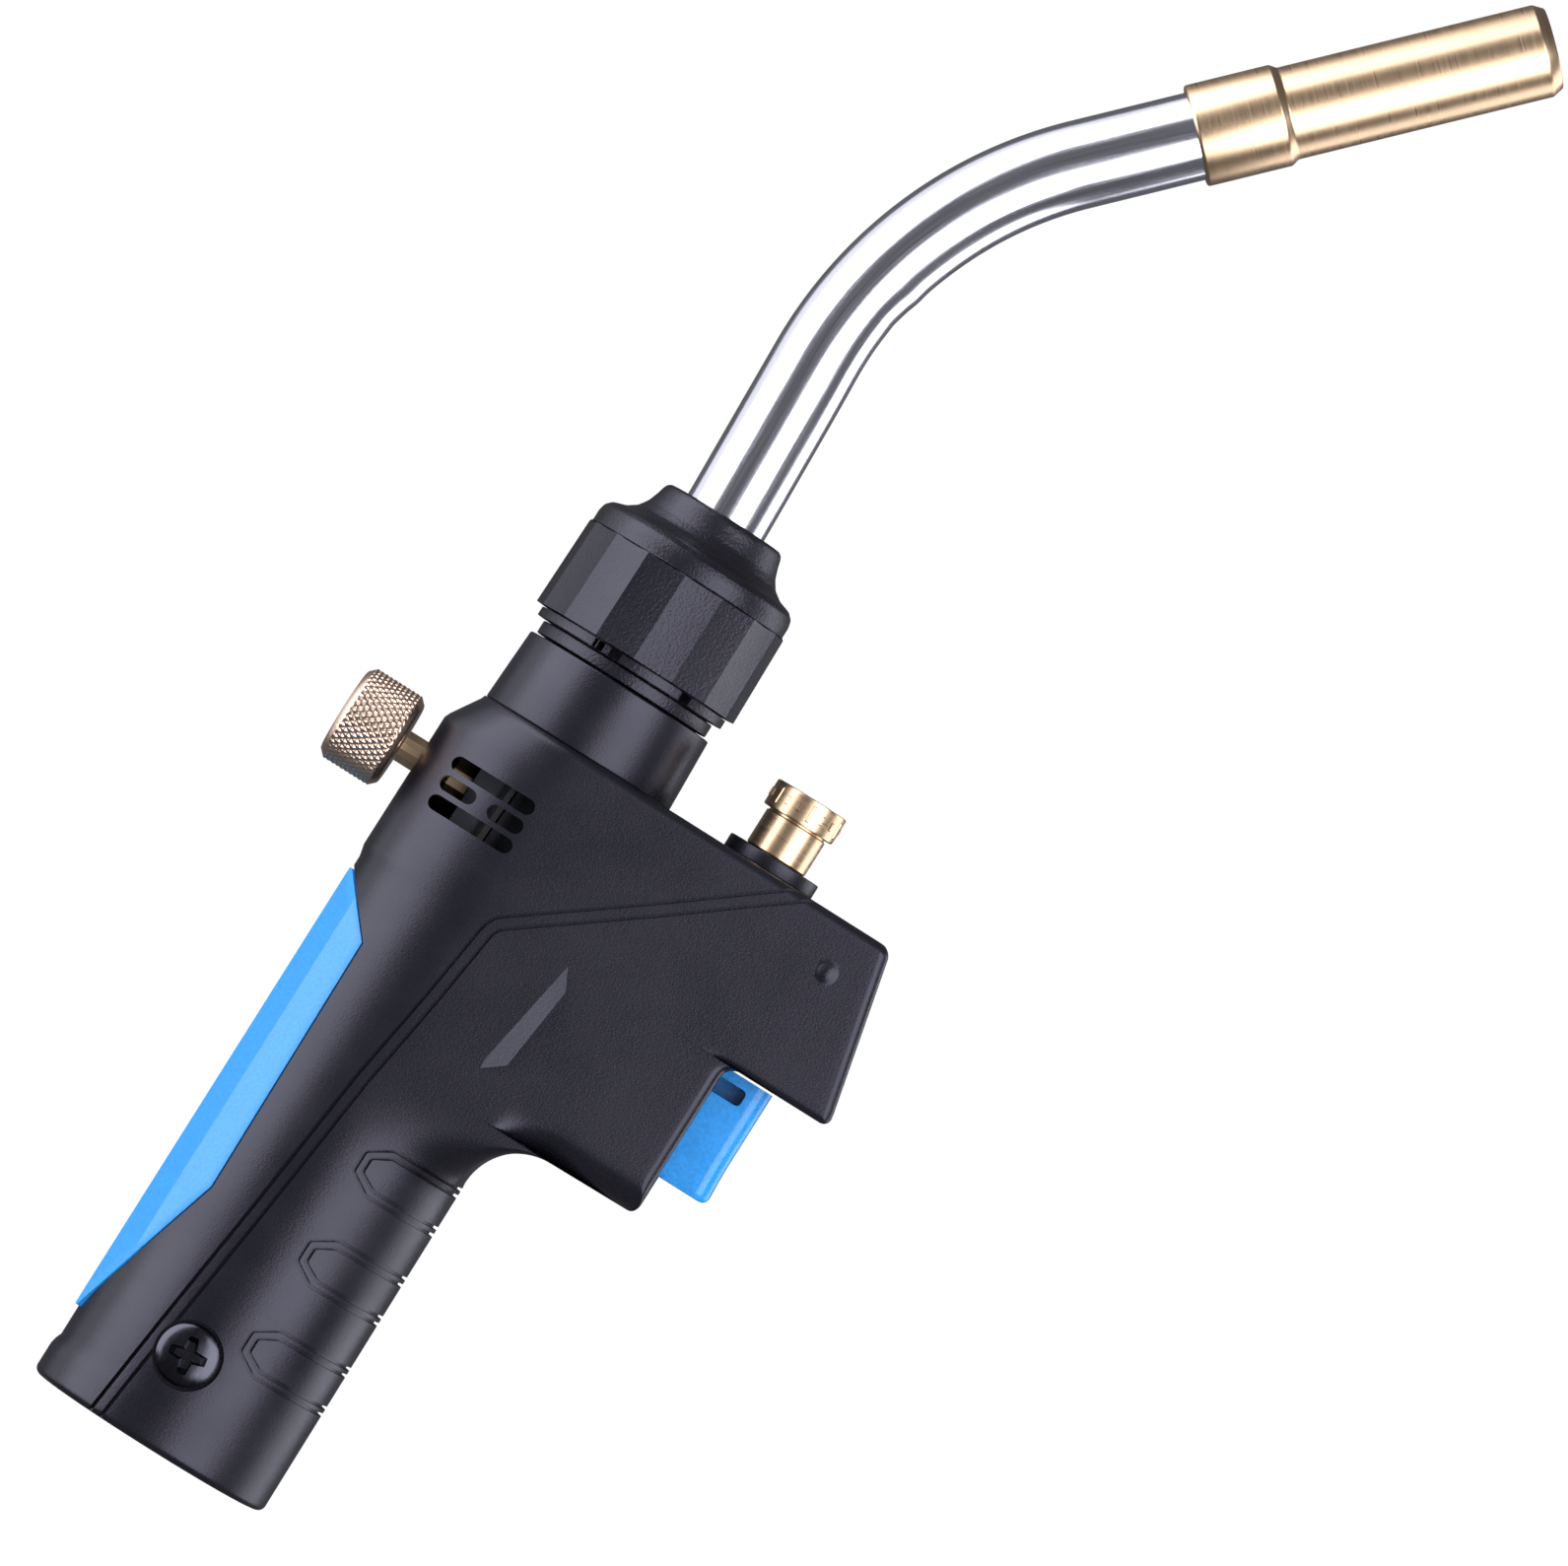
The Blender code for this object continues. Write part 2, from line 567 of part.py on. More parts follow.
def build_inlet():
    fitting = turned("inlet_fitting", [
        (SOCKET_R, 0), (FITTING_R, 0), (FITTING_R, FITTING_TOP), (BOSS_R, FITTING_TOP),
        (BOSS_R, BOSS_TOP), (INLET_BORE, BOSS_TOP), (INLET_BORE, SOCKET_DEPTH), (SOCKET_R, SOCKET_DEPTH)],
        "cast_zinc", steps=32)
    bm = bmesh.new()
    lathe(bm, rod(2.2, 8.5, BIG), (GRIP_SCREW[0], 0, GRIP_SCREW[1]), (0, -1, 0), 20)
    combine(fitting, finish("inlet_fitting_screw_hole", bm, None, smooth=False))
    turned("inlet_seal", ring(4.5, 10.0, 8.6, SOCKET_DEPTH - GAP), "rubber", steps=32)
    turned("inlet_pin", [(0, 3.0), (1.1, 3.4), (1.1, 13.0), (2.6, 13.0), (2.6, 15.0), (0, 15.0)], "brass",
           steps=20)
    turned("inlet_filter", rod(2.6, 16.0, 18.6), "steel", steps=20)


def build_regulator():
    body = turned("regulator_body", [
        (BOSS_R + GAP, REG_LOW), (REG_R, REG_LOW), (REG_R, REG_HIGH), (CHAMBER_R, REG_HIGH),
        (CHAMBER_R, CHAMBER_LOW), (1.5, CHAMBER_LOW), (1.5, 27.4), (BOSS_R + GAP, 27.4)],
        "cast_zinc", steps=24)
    out = Vector((*PIPE_AT, 0)).normalized()
    bm = bmesh.new()
    lathe(bm, rod(PIPE_R + GAP, CHAMBER_R - 1.5, BIG), (0, 0, OUTLET_Z), out, 14)
    combine(body, finish("regulator_outlet", bm, None, smooth=False))
    turned("regulator_diaphragm", rod(12.6, REG_HIGH + GAP, REG_HIGH + 1.3), "rubber", steps=24)
    low = REG_HIGH + 1.6
    turned("regulator_cap", [
        (CAP_BORE, low), (REG_R, low), (REG_R, 52.0), (10.2, 53.5), (10.2, CAP_HIGH), (2.0, CAP_HIGH),
        (2.0, CAP_ROOF), (CAP_BORE, CAP_ROOF)], "cast_zinc", steps=28)
    coil("regulator_spring", "steel", low + GAP, CAP_ROOF - GAP, 6.2, 0.7, 5, (0, 0, 0), (0, 0, 1))
    path = rounded_path([Vector((0, 0, OUTLET_Z)) + out * (CHAMBER_R + 0.8), (*PIPE_AT, OUTLET_Z),
                         (*PIPE_AT, 86.0), (*PORT_AT, 94.0), (*PORT_AT, 97.6)], 2.4, 4)
    bm = bmesh.new()
    sweep(bm, path, PIPE_R, PIPE_BORE, 8)
    finish("gas_pipe", bm, "brass")


def build_valve():
    bm = bmesh.new()
    add_box(bm, (-VALVE_X, -VALVE_Y, VALVE_LOW), (VALVE_X, VALVE_Y, VALVE_HIGH))
    block = finish("valve_block", bm, "cast_zinc", smooth=False)
    bores = (
        (rod(STEM_BORE, -7.2, VALVE_X + 5), (0, 0, STEM_Z), (1, 0, 0)),
        ([(0, -16), (FLAME_BORE, -16), (FLAME_BORE, -4.0), (1.2, -3.0), (1.2, 0), (0, 0)],
         (0, 0, FLAME_Z), (1, 0, 0)),
        (rod(JET_BORE, 109.0, VALVE_HIGH + 5), (0, 0, 0), (0, 0, 1)),
        (rod(PIPE_R + GAP, 90.0, 101.0), (*PORT_AT, 0), (0, 0, 1)),
    )
    for k, (profile, centre, axis) in enumerate(bores):
        bm = bmesh.new()
        lathe(bm, profile, centre, axis, 16)
        combine(block, finish(f"valve_bore_{k}", bm, None, smooth=False))
    turned("jet", [(0.5, 113.0), (1.9, 113.0), (1.9, VALVE_HIGH + GAP), (4.0, VALVE_HIGH + GAP),
                   (4.0, 121.0), (2.4, 121.6), (1.3, 127.0), (0.5, 127.0)], "brass", steps=16)
    turned("valve_stem", [
        (0, STEM_IN), (2.7, STEM_IN), (2.7, -0.5), (STEM_R, 0.2), (STEM_R, 24.2), (2.9, 24.2), (2.9, 24.9),
        (1.8, STEM_OUT), (0, STEM_OUT)], "brass", (0, 0, STEM_Z), (1, 0, 0), 14, (STEM_OUT, 0, STEM_Z))
    turned("valve_gland", ring(STEM_R + GAP, 4.4, VALVE_X + GAP, 14.0), "brass", (0, 0, STEM_Z),
           (1, 0, 0), 12)
    coil("valve_spring", "steel", 14.3, 23.9, 2.4, 0.35, 6, (0, 0, STEM_Z), (1, 0, 0))
    turned("packing_nut", ring(FLAME_BORE, 5.2, -14.6, -VALVE_X - GAP), "brass", (0, 0, FLAME_Z),
           (1, 0, 0), 12)
    shaft_end = FLAME_KNOB_FRONT + GAP
    turned("flame_needle", [(0, shaft_end), (FLAME_R, shaft_end), (FLAME_R, -5.2), (0.7, -3.4), (0, -3.2)],
           "rose_brass", (0, 0, FLAME_Z), (1, 0, 0), 16, origin=(-VALVE_X, 0, FLAME_Z))
    back, front = FLAME_KNOB_BACK, FLAME_KNOB_FRONT
    turned("flame_knob", [(0, back), (FLAME_KNOB_R - 0.8, back), (FLAME_KNOB_R, back + 0.8),
                          (FLAME_KNOB_R, front - 0.8), (FLAME_KNOB_R - 0.8, front), (0, front)],
           "rose_brass", (0, 0, FLAME_Z), (1, 0, 0), 28, origin=(back, 0, FLAME_Z))


def build_trigger():
    bm = bmesh.new()
    low, high, front = TRIGGER_LOW, TRIGGER_HIGH, TRIGGER_FRONT
    nose = [(front - 1.3 + 1.3 * math.sin(math.radians(a)), low + 1.3 - 1.3 * math.cos(math.radians(a)))
            for a in (0, 30, 60, 90)]
    outline = [(TRIGGER_REAR, low)] + nose + [(front, high), (TRIGGER_REAR, high)]
    add_prism(bm, outline, -TRIGGER_HALF, TRIGGER_HALF)
    upright = [e for e in bm.edges if min(v.co.x for v in e.verts) > front - 0.01
               and abs(e.verts[0].co.y - e.verts[1].co.y) < 0.01]
    bmesh.ops.bevel(bm, geom=upright, offset=2.5, segments=4, profile=0.5, affect="EDGES")
    trigger = finish("trigger", bm, "trigger_blue")
    parts = {
        "pocket": ((41.0, -7.6, low - 5), (50.5, 7.6, 91.0)),
        "slot_right": ((TRIGGER_REAR - 5, -TRIGGER_HALF - 5, SLOT_LOW), (SLOT_END, -8.0, SLOT_HIGH)),
        "slot_left": ((TRIGGER_REAR - 5, 8.0, SLOT_LOW), (SLOT_END, TRIGGER_HALF + 5, SLOT_HIGH)),
    }
    for name, (corner, opposite) in parts.items():
        bm = bmesh.new()
        add_box(bm, corner, opposite)
        combine(trigger, finish("trigger_" + name, bm, None, smooth=False))
    bm = bmesh.new()
    add_box(bm, (LEVER_X + 1.35, -3.0, 88.6), (TRIGGER_REAR + 1, 3.0, 91.4))
    combine(trigger, finish("trigger_pusher", bm, None, smooth=False), "UNION")

    bm = bmesh.new()
    lathe(bm, ring(PIN_R + GAP, 3.2, -LEVER_HALF, LEVER_HALF), (LEVER_X, 0, LEVER_Z), (0, 1, 0), 24)
    lever = finish("trigger_lever", bm, "steel", origin=(LEVER_X, 0, LEVER_Z))
    bm = bmesh.new()
    add_box(bm, (LEVER_X - 1.0, -LEVER_HALF, 88.2), (LEVER_X + 1.0, LEVER_HALF, LEVER_Z - 2.3))
    combine(lever, finish("trigger_lever_arm", bm, None, smooth=False), "UNION")
    turned("lever_pin", rod(PIN_R, -12.0, 12.0), "steel", (LEVER_X, 0, LEVER_Z), (0, 1, 0), 16)

    turned("piezo_body", [
        (0, PIEZO_REAR), (PIEZO_R, PIEZO_REAR), (PIEZO_R, PIEZO_FRONT), (PIEZO_BORE, PIEZO_FRONT),
        (PIEZO_BORE, 14.0), (0, 14.0)], "piezo_black", (0, 0, PIEZO_Z), (1, 0, 0), 20)
    turned("piezo_plunger", rod(PLUNGER_R, 22.0, TRIGGER_REAR - GAP), "steel", (0, 0, PIEZO_Z), (1, 0, 0), 16,
           origin=(TRIGGER_REAR - GAP, 0, PIEZO_Z))
    coil("trigger_spring", "steel", PIEZO_FRONT + GAP, TRIGGER_REAR - GAP, 4.3, 0.4, 4, (0, 0, PIEZO_Z),
         (1, 0, 0))


def build_lock():
    turned("lock_collar", ring(LOCK_SHAFT_R + 0.4, COLLAR_R, TOP_Z + GAP, COLLAR_HIGH), "moulded_black",
           (LOCK_X, 0, 0), steps=24)
    bm = bmesh.new()
    foot = COLLAR_HIGH + GAP
    lathe(bm, [(0, 99.0), (LOCK_SHAFT_R, 99.0), (LOCK_SHAFT_R, foot), (LOCK_STEM_R, foot),
               (LOCK_STEM_R, 133.5), (LOCK_HEAD_R, 133.5), (LOCK_HEAD_R, 137.5), (LOCK_HEAD_R - 0.4, 137.9),
               (0, 137.9)], (LOCK_X, 0, 0), steps=24)
    knob = finish("lock_knob", bm, "brass", origin=(LOCK_X, 0, TOP_Z))
    bm = bmesh.new()
    add_box(bm, (LOCK_X - 1.6, 0.5, 99.3), (LOCK_X + 1.6, 8.0, 102.0))
    combine(knob, finish("lock_cam", bm, None, smooth=False), "UNION")
    turned("lock_retaining_ring", ring(LOCK_SHAFT_R + 0.25, 5.6, 120.2, 121.4), "steel", (LOCK_X, 0, 0),
           steps=24)


def build_neck():
    turned("neck_sleeve", [
        (12.4, 119.6), (14.9, 119.6), (14.9, 121.6), (SPIGOT_R, 121.6), (SPIGOT_R, TOP_Z + GAP),
        (NECK_R, TOP_Z + GAP), (NECK_TOP_R, NECK_TOP), (12.4, NECK_TOP)], "moulded_black", steps=40)
    turned("threaded_spigot", [
        (11.4, 128.0), (12.1, 128.0), (12.1, RING_LOW), (RING_R, RING_LOW), (RING_R, RING_HIGH),
        (SPIGOT_R, RING_HIGH), (SPIGOT_R, SPIGOT_TOP), (11.4, SPIGOT_TOP)], "nut_black", steps=32)
    notched_ring()
    faceted_nut()
    turned("tube_seal", ring(11.0, 13.8, SPIGOT_TOP + GAP, 151.2), "rubber", steps=24)
    turned("tube_flange", ring(TUBE_R + GAP + 0.1, 13.8, 151.5, 154.3), "brass", steps=24)


def build_burner():
    bm = bmesh.new()
    path = tube_path()
    end = Vector(path[-1])
    along = Vector((math.sin(LEAN_FORWARD), 0, math.cos(LEAN_FORWARD)))
    path[-1] = end + along * 12.4
    sweep(bm, path, TUBE_R, TUBE_BORE, 18)
    finish("burner_tube", bm, "stainless")
    socket = SOCKET_LENGTH
    turned("burner_tip", [
        (TUBE_R + GAP, 0), (TIP_SOCKET_R - 0.3, 0), (TIP_SOCKET_R, 0.3), (TIP_SOCKET_R, socket - 1.1),
        (TIP_R, socket), (TIP_R, TIP_LENGTH - 1.7), (TIP_R - 1.0, TIP_LENGTH), (MOUTH_R, TIP_LENGTH),
        (MOUTH_R, 12.9), (TUBE_R + GAP, 12.9)], "brass", end, along, 28)
    holder = turned("flame_holder", ring(1.2, MOUTH_R - GAP, 46.0, 50.0), "brass", end, along, 16)
    side, over = frame_of(along)
    for k in range(6):
        turn = math.radians(60 * k)
        bm = bmesh.new()
        port = end + 3.5 * (math.cos(turn) * side + math.sin(turn) * over)
        lathe(bm, rod(0.8, 40.0, 55.0), port, along, 10)
        combine(holder, finish(f"flame_port_{k}", bm, None, smooth=False))
    turned("spark_electrode", rod(0.8, 26.0, 51.2), "steel", end, along, 12)
    turned("ceramic_insulator", ring(1.1, 2.6, 28.0, 44.0), "ceramic", end, along, 16)
    bm = bmesh.new()
    centre_line = [(0, 0, 146.0)] + [p for p in path if p[2] > 160][:-1] + [end + along * 24.0]
    sweep(bm, centre_line, 0.9, steps=6)
    finish("ignition_wire_upper", bm, "wire_black")
    bm = bmesh.new()
    route = [(3.4, 0, PIEZO_Z), (-3.0, 0, PIEZO_Z), (-6.0, -10.5, 92.0), (-5.0, -9.5, 118.0),
             (0, -8.0, 130.0), (0, 0, 138.0), (0, 0, 145.0)]
    sweep(bm, rounded_path(route, 1.8, 3), 0.9, steps=6)
    finish("ignition_wire_lower", bm, "wire_black")


def main():
    clear_scene()
    build_body()
    build_inlet()
    build_regulator()
    build_valve()
    build_trigger()
    build_lock()
    build_neck()
    build_burner()


main()
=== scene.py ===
"""Propane torch head: the fine surfaces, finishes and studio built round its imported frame.

Shapes are worked out in millimetres in the frame's own axes and stored in metres.
"""

import json
import math

import bmesh
import bpy
import numpy as np
from bpy.props import FloatProperty, FloatVectorProperty, IntProperty, PointerProperty
from bpy.types import Operator, Panel, PropertyGroup
from mathutils import Matrix, Vector


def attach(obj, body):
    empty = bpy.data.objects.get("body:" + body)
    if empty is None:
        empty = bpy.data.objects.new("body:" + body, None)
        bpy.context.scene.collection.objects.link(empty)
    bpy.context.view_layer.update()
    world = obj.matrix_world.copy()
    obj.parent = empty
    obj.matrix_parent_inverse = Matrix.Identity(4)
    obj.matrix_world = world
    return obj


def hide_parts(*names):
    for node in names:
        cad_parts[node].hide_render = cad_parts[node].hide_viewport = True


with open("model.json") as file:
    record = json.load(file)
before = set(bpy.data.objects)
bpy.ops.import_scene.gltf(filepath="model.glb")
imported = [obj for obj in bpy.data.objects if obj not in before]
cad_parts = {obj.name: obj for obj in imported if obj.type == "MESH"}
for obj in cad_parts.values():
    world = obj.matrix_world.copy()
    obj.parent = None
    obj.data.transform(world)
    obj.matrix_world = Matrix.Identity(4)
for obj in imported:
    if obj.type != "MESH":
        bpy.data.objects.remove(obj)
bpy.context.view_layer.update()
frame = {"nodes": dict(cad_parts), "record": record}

bl_info = {
    "name": "Propane torch head",
    "version": (1, 0, 0),
    "blender": (4, 5, 0),
    "location": "View3D > Sidebar > Torch",
    "description": "Builds the detailed torch round its packed frame",
    "category": "Object",
}

MM = 0.001
FAR = 40.0   # how far a through-cutter reaches, mm
PAINTED_VIOLET_GLOSS = (0.86, 0.83, 1.0)   # violet tint painted into the gloss of the black plastics: it stands in for the bluish light that falls on them
REFLECTED_ROOM = 0.14   # brightness of the room in reflections, beside the soft boxes

# moulded body, mm
OVAL_X, HALF_WIDTH, WALL, TOP_Z = 0.45, 18.0, 2.6, 124.6
GRIP_FRONT, GRIP_FOOT = 20.7, 21.1
THROAT_X, THROAT_Z, THROAT_R = 30.4, 59.5, 9.8
BLOCK_Z, BLOCK_FRONT = 69.4, 45.2
NOSE_Z, NOSE_FRONT, NOSE_TOP, NOSE_LEVEL = 96.4, 63.0, 57.3, 123.0
NOSE_START = 98.0    # where the nose's front begins to lean back
GRIP_END = 54.0      # where the round grip begins to turn into the block
NOSE_FILLET = 2.2    # radius under the nose
DRAFT_START = 6.0    # how gently the draft begins
FOOT_EDGE, LOW_EDGE, UNDER_EDGE, TOP_EDGE, CORNER = 1.2, 1.3, 5.5, 1.7, 1.6
DRAFT = 0.035   # how fast the sides of the block draw in towards its front
BACK_LINE = np.array([(0, -20.2), (5.5, -20.2), (7.0, -19.6), (93.5, -19.95), (95.4, -20.4),
                      (118.8, -20.3), (124.0, -17.0), (124.6, -16.8)])
PANEL_LINE = np.array([(-27.9, -15.0), (-19.8, 11.4), (-11.4, 38.7), (-11.8, 82.5), (-20.3, 92.3),
                       (-28.0, 101.2)])
PANEL_DEPTH, PANEL_GAP, PANEL_WALL = 1.7, 0.3, 1.3
GRIP_BAND = np.array([(-9.8, -6.0), (-7.0, 19.0), (-4.5, 39.9), (-1.8, 65.0), (0.7, 81.7), (2.2, 93.6),
                      (2.5, 95.0), (3.3, 96.5), (4.6, 97.6), (22.7, 111.3), (35.2, 121.1), (45.0, 128.6)])
BAND_SPACING = 1.9
FINGER_Z = (21.8, 38.1, 54.2)
VENTS = ((113.4, -15.25, -0.4), (110.0, -15.25, -8.9), (110.0, -6.6, -0.35), (106.6, -15.2, -0.2))
VENT_HEIGHT, BLIND_VENT = 2.5, 2.1   # the far half's slots are closed by a thin web
TRIGGER = {"rear": 38.0, "front": 53.8, "low": 76.3, "high": 96.0, "half": 10.0}
TRIGGER_SLOT = (91.7, 94.4, 50.0)   # bottom, top, front end
GRIP_SCREW, SCREW_BORE = (-0.8, 15.2), 5.5
BODY_SCREWS = ((50.4, 116.3), (22.5, 72.0))
FLAME_Z, LOCK_X = 111.3, 34.4

# neck, nut and burner, mm
NECK = ((12.4, 124.62), (16.6, 124.62), (16.1, 136.8), (12.4, 136.8))
SPIGOT = ((12.1, 137.1), (15.25, 137.1), (15.25, 139.2), (14.0, 139.2), (14.0, 149.6), (12.1, 149.6))
RIM_R, RIM_LOW, RIM_HIGH = 16.6, 139.5, 140.9
RIM_GAPS = ((32.8, 39.7), (97.0, 98.2), (99.6, 103.2), (107.4, 113.4))   # degrees, thrice round
NUT_FLATS = 16
NUT_OUTER = ((17.85, 141.2), (17.55, 156.2), (17.2, 156.3), (17.2, 158.2), (16.9, 159.4), (16.0, 160.3),
             (14.0, 160.95), (12.5, 162.0), (11.5, 163.5), (10.9, 165.2), (10.6, 166.4), (10.3, 167.0),
             (9.8, 167.3))
NUT_INNER = ((7.35, 167.3), (7.35, 154.6), (14.35, 154.6), (14.35, 141.2))
TUBE_R, TUBE_BORE, TUBE_FOOT = 6.9, 6.1, 143.0
TUBE_RUNS = ((21.0, 0.0, 0.0), (5.864, 0.0, -2.24), (25.1, -2.24, -2.24), (52.46, -2.24, 44.0),
             (18.3, 44.0, 44.0))   # length, heading at its start and at its end
TUBE_IN_TIP = 12.4
TIP = ((7.2, 0.0), (7.75, 0.0), (8.0, 0.3), (8.0, 13.5), (7.275, 14.6), (7.275, 55.1), (6.3, 56.8),
       (5.75, 56.8), (5.75, 12.9), (7.2, 12.9))
FLAME_KNOB_BACK, FLAME_KNOB_FRONT, FLAME_KNOB_R = -34.0, -23.7, 8.05
LOCK_STEM = ((0.0, 120.0), (2.9, 120.0), (2.9, 127.1), (5.0, 127.1), (5.2, 127.3), (5.2, 133.0), (4.9, 133.2),
             (4.9, 133.5), (5.9, 133.5), (6.1, 133.6), (6.15, 133.8))
LOCK_TOP = ((6.15, 137.6), (6.1, 137.8), (5.9, 137.9), (5.2, 137.9), (5.0, 137.6), (0.0, 137.6))


# ---- colours and sizes a user may change ------------------------------------------------------
def linear(code):
    """Linear colour from an sRGB hex code: each channel c becomes ((c + 0.055) / 1.055) ** 2.4."""
    share = np.array([int(code[k:k + 2], 16) for k in (0, 2, 4)]) / 255.0
    return tuple(np.where(share <= 0.04045, share / 12.92, ((share + 0.055) / 1.055) ** 2.4).tolist())


def colour(label, code, about):
    return FloatVectorProperty(name=label, description=about, subtype="COLOR", size=3, min=0.0, max=1.0,
                               default=linear(code))


def length(label, millimetres, about):
    return FloatProperty(name=label, description=about, default=millimetres * MM, unit="LENGTH", min=0.0)


class TorchSizes(PropertyGroup):
    """Sizes of the surface details."""
    groove_depth: length("Groove depth", 0.8, "Depth of the band of grooves along the side")
    groove_width: length("Groove width", 0.6, "Width of each groove of the band")
    finger_depth: length("Finger groove depth", 0.7, "Depth of the fine lines round the three finger rests")
    knurl_pitch: length("Knurl pitch", 1.15, "Spacing of the knurl's teeth round the flame knob")
    knurl_depth: length("Knurl depth", 0.3, "Height of the knurl's teeth")
    nut_grain: length("Nut grain", 0.45, "Spacing of the coarse moulded texture on the nut")
    body_grain: length("Body grain", 0.34, "Spacing of the fine moulded texture on the housing")
    floor_drop: length("Floor drop", 120.0, "How far the studio floor lies below the grip's foot")
    turn_steps: IntProperty(name="Turned steps", description="Facets round each turned piece", default=112,
                            min=24, max=256)


class TorchColours(PropertyGroup):
    """Colours of the finishes."""
    body: colour("Housing", "0b0b10", "Black moulded housing")
    nut: colour("Nut", "0a0a0e", "Black nut and rings")
    panel: colour("Back panel", "126ba6", "Blue panel in the back of the grip")
    trigger: colour("Trigger", "1972b1", "Blue trigger")
    brass: colour("Brass", "dcbd98", "Turned brass")
    rose: colour("Rose brass", "dcc0a8", "Copper-rich brass of the flame knob")
    steel: colour("Bright steel", "e2e1e8", "Polished tube")
    screw: colour("Screw", "17171a", "Black plated screws")
    # The zinc grey is darker than the bare metal: painted shade for the inside of the grip behind the vents.
    zinc: colour("Cast zinc", "55565a", "Castings inside the grip")
    rubber: colour("Rubber", "161617", "Seals and diaphragm")
    ceramic: colour("Ceramic", "e9e4d8", "Insulator")
    wire: colour("Wire cover", "141415", "Ignition cable")


# ---- finishes ------------------------------------------------------------------------------------
def add(tree, kind, settings=None, links=None):
    """A node with its settings, by socket or by property name, and its links from other nodes."""
    made = tree.nodes.new(kind)
    for name, value in (settings or {}).items():
        if isinstance(name, str) and hasattr(made, name):
            setattr(made, name, value)
        else:
            made.inputs[name].default_value = value
    for name, (source, output) in (links or {}).items():
        tree.links.new(source.outputs[output], made.inputs[name])
    return made


def blank(name):
    made = bpy.data.materials.new(name)
    made.use_nodes = True
    made.node_tree.nodes.clear()
    return made, made.node_tree


def close(tree, shader):
    add(tree, "ShaderNodeOutputMaterial", links={"Surface": (shader, "BSDF")})


def shade(base, share):
    """The colour scaled by a share, with its alpha."""
    return (*[min(1.0, c * share) for c in base], 1.0)


def moulded(name, base, grain_mm, bump_mm, rough, spread=0.16, coat=0.0, tint=(1.0, 1.0, 1.0)):
    """Plastic moulded in a spark-eroded tool: a slightly uneven colour, a fine pebble that breaks up
    the gloss, and faint rubbed patches where hands touch it."""
    made, tree = blank(name)
    place = add(tree, "ShaderNodeTexCoord")
    here = (place, "Object")
    patches = add(tree, "ShaderNodeTexNoise", {"Scale": 55.0, "Detail": 3.0, "Roughness": 0.6},
                  {"Vector": here})
    grain = add(tree, "ShaderNodeTexNoise", {"Scale": 1.0 / (grain_mm * MM), "Detail": 2.0, "Roughness": 0.55},
                {"Vector": here})
    tone = add(tree, "ShaderNodeMix", {"data_type": "RGBA", 6: shade(base, 1.0 - spread),
                                       7: shade(base, 1.0 + spread)}, {0: (patches, "Fac")})
    speck = add(tree, "ShaderNodeMapRange", {"From Min": 0.35, "From Max": 0.65, "To Min": 0.9, "To Max": 1.1},
                {"Value": (grain, "Fac")})
    mixed = add(tree, "ShaderNodeMix", {"data_type": "RGBA", "blend_type": "MULTIPLY", 0: 1.0},
                {6: (tone, 2), 7: (speck, "Result")})
    gloss = add(tree, "ShaderNodeMapRange", {"From Min": 0.3, "From Max": 0.7, "To Min": rough - 0.05,
                                             "To Max": rough + 0.06}, {"Value": (patches, "Fac")})
    bump = add(tree, "ShaderNodeBump", {"Strength": 1.0, "Distance": bump_mm * MM}, {"Height": (grain, "Fac")})
    close(tree, add(tree, "ShaderNodeBsdfPrincipled",
                    {"IOR": 1.46, "Specular Tint": (*tint, 1.0), "Coat Weight": coat, "Coat Roughness": 0.2},
                    {"Base Color": (mixed, 2), "Roughness": (gloss, "Result"), "Normal": (bump, "Normal")}))
    return made


def worked_metal(name, base, rough, streak_mm, along, bump_mm, spread=0.1, uv=True):
    """Drawn or turned metal: fine tool lines, stretched one way, that vary its tone and gloss, with
    faint cloudy tarnish over them. `along` is how many times longer the lines run than they are wide;
    below zero, the lines run the other way."""
    made, tree = blank(name)
    place = add(tree, "ShaderNodeTexCoord")
    here = (place, "UV" if uv else "Object")
    scale = 1.0 / (streak_mm * MM)
    short = scale / abs(along)
    stretch = (scale, short, short) if along > 0 else (short, scale, short)
    fitted = add(tree, "ShaderNodeMapping", {"Scale": stretch}, {"Vector": here})
    lines = add(tree, "ShaderNodeTexNoise", {"Scale": 1.0, "Detail": 3.0, "Roughness": 0.65},
                {"Vector": (fitted, "Vector")})
    cloud = add(tree, "ShaderNodeTexNoise", {"Scale": 90.0, "Detail": 4.0, "Roughness": 0.6},
                {"Vector": (place, "Object")})
    tone = add(tree, "ShaderNodeMix", {"data_type": "RGBA", 6: shade(base, 1.0 - spread), 7: shade(base, 1.0)},
               {0: (cloud, "Fac")})
    wear = add(tree, "ShaderNodeMapRange", {"From Min": 0.3, "From Max": 0.7, "To Min": 0.94, "To Max": 1.04},
               {"Value": (lines, "Fac")})
    mixed = add(tree, "ShaderNodeMix", {"data_type": "RGBA", "blend_type": "MULTIPLY", 0: 1.0},
                {6: (tone, 2), 7: (wear, "Result")})
    gloss = add(tree, "ShaderNodeMapRange", {"From Min": 0.3, "From Max": 0.7, "To Min": rough - 0.05,
                                             "To Max": rough + 0.07}, {"Value": (lines, "Fac")})
    bump = add(tree, "ShaderNodeBump", {"Strength": 1.0, "Distance": bump_mm * MM}, {"Height": (lines, "Fac")})
    close(tree, add(tree, "ShaderNodeBsdfPrincipled", {"Metallic": 1.0},
                    {"Base Color": (mixed, 2), "Roughness": (gloss, "Result"), "Normal": (bump, "Normal")}))
    return made


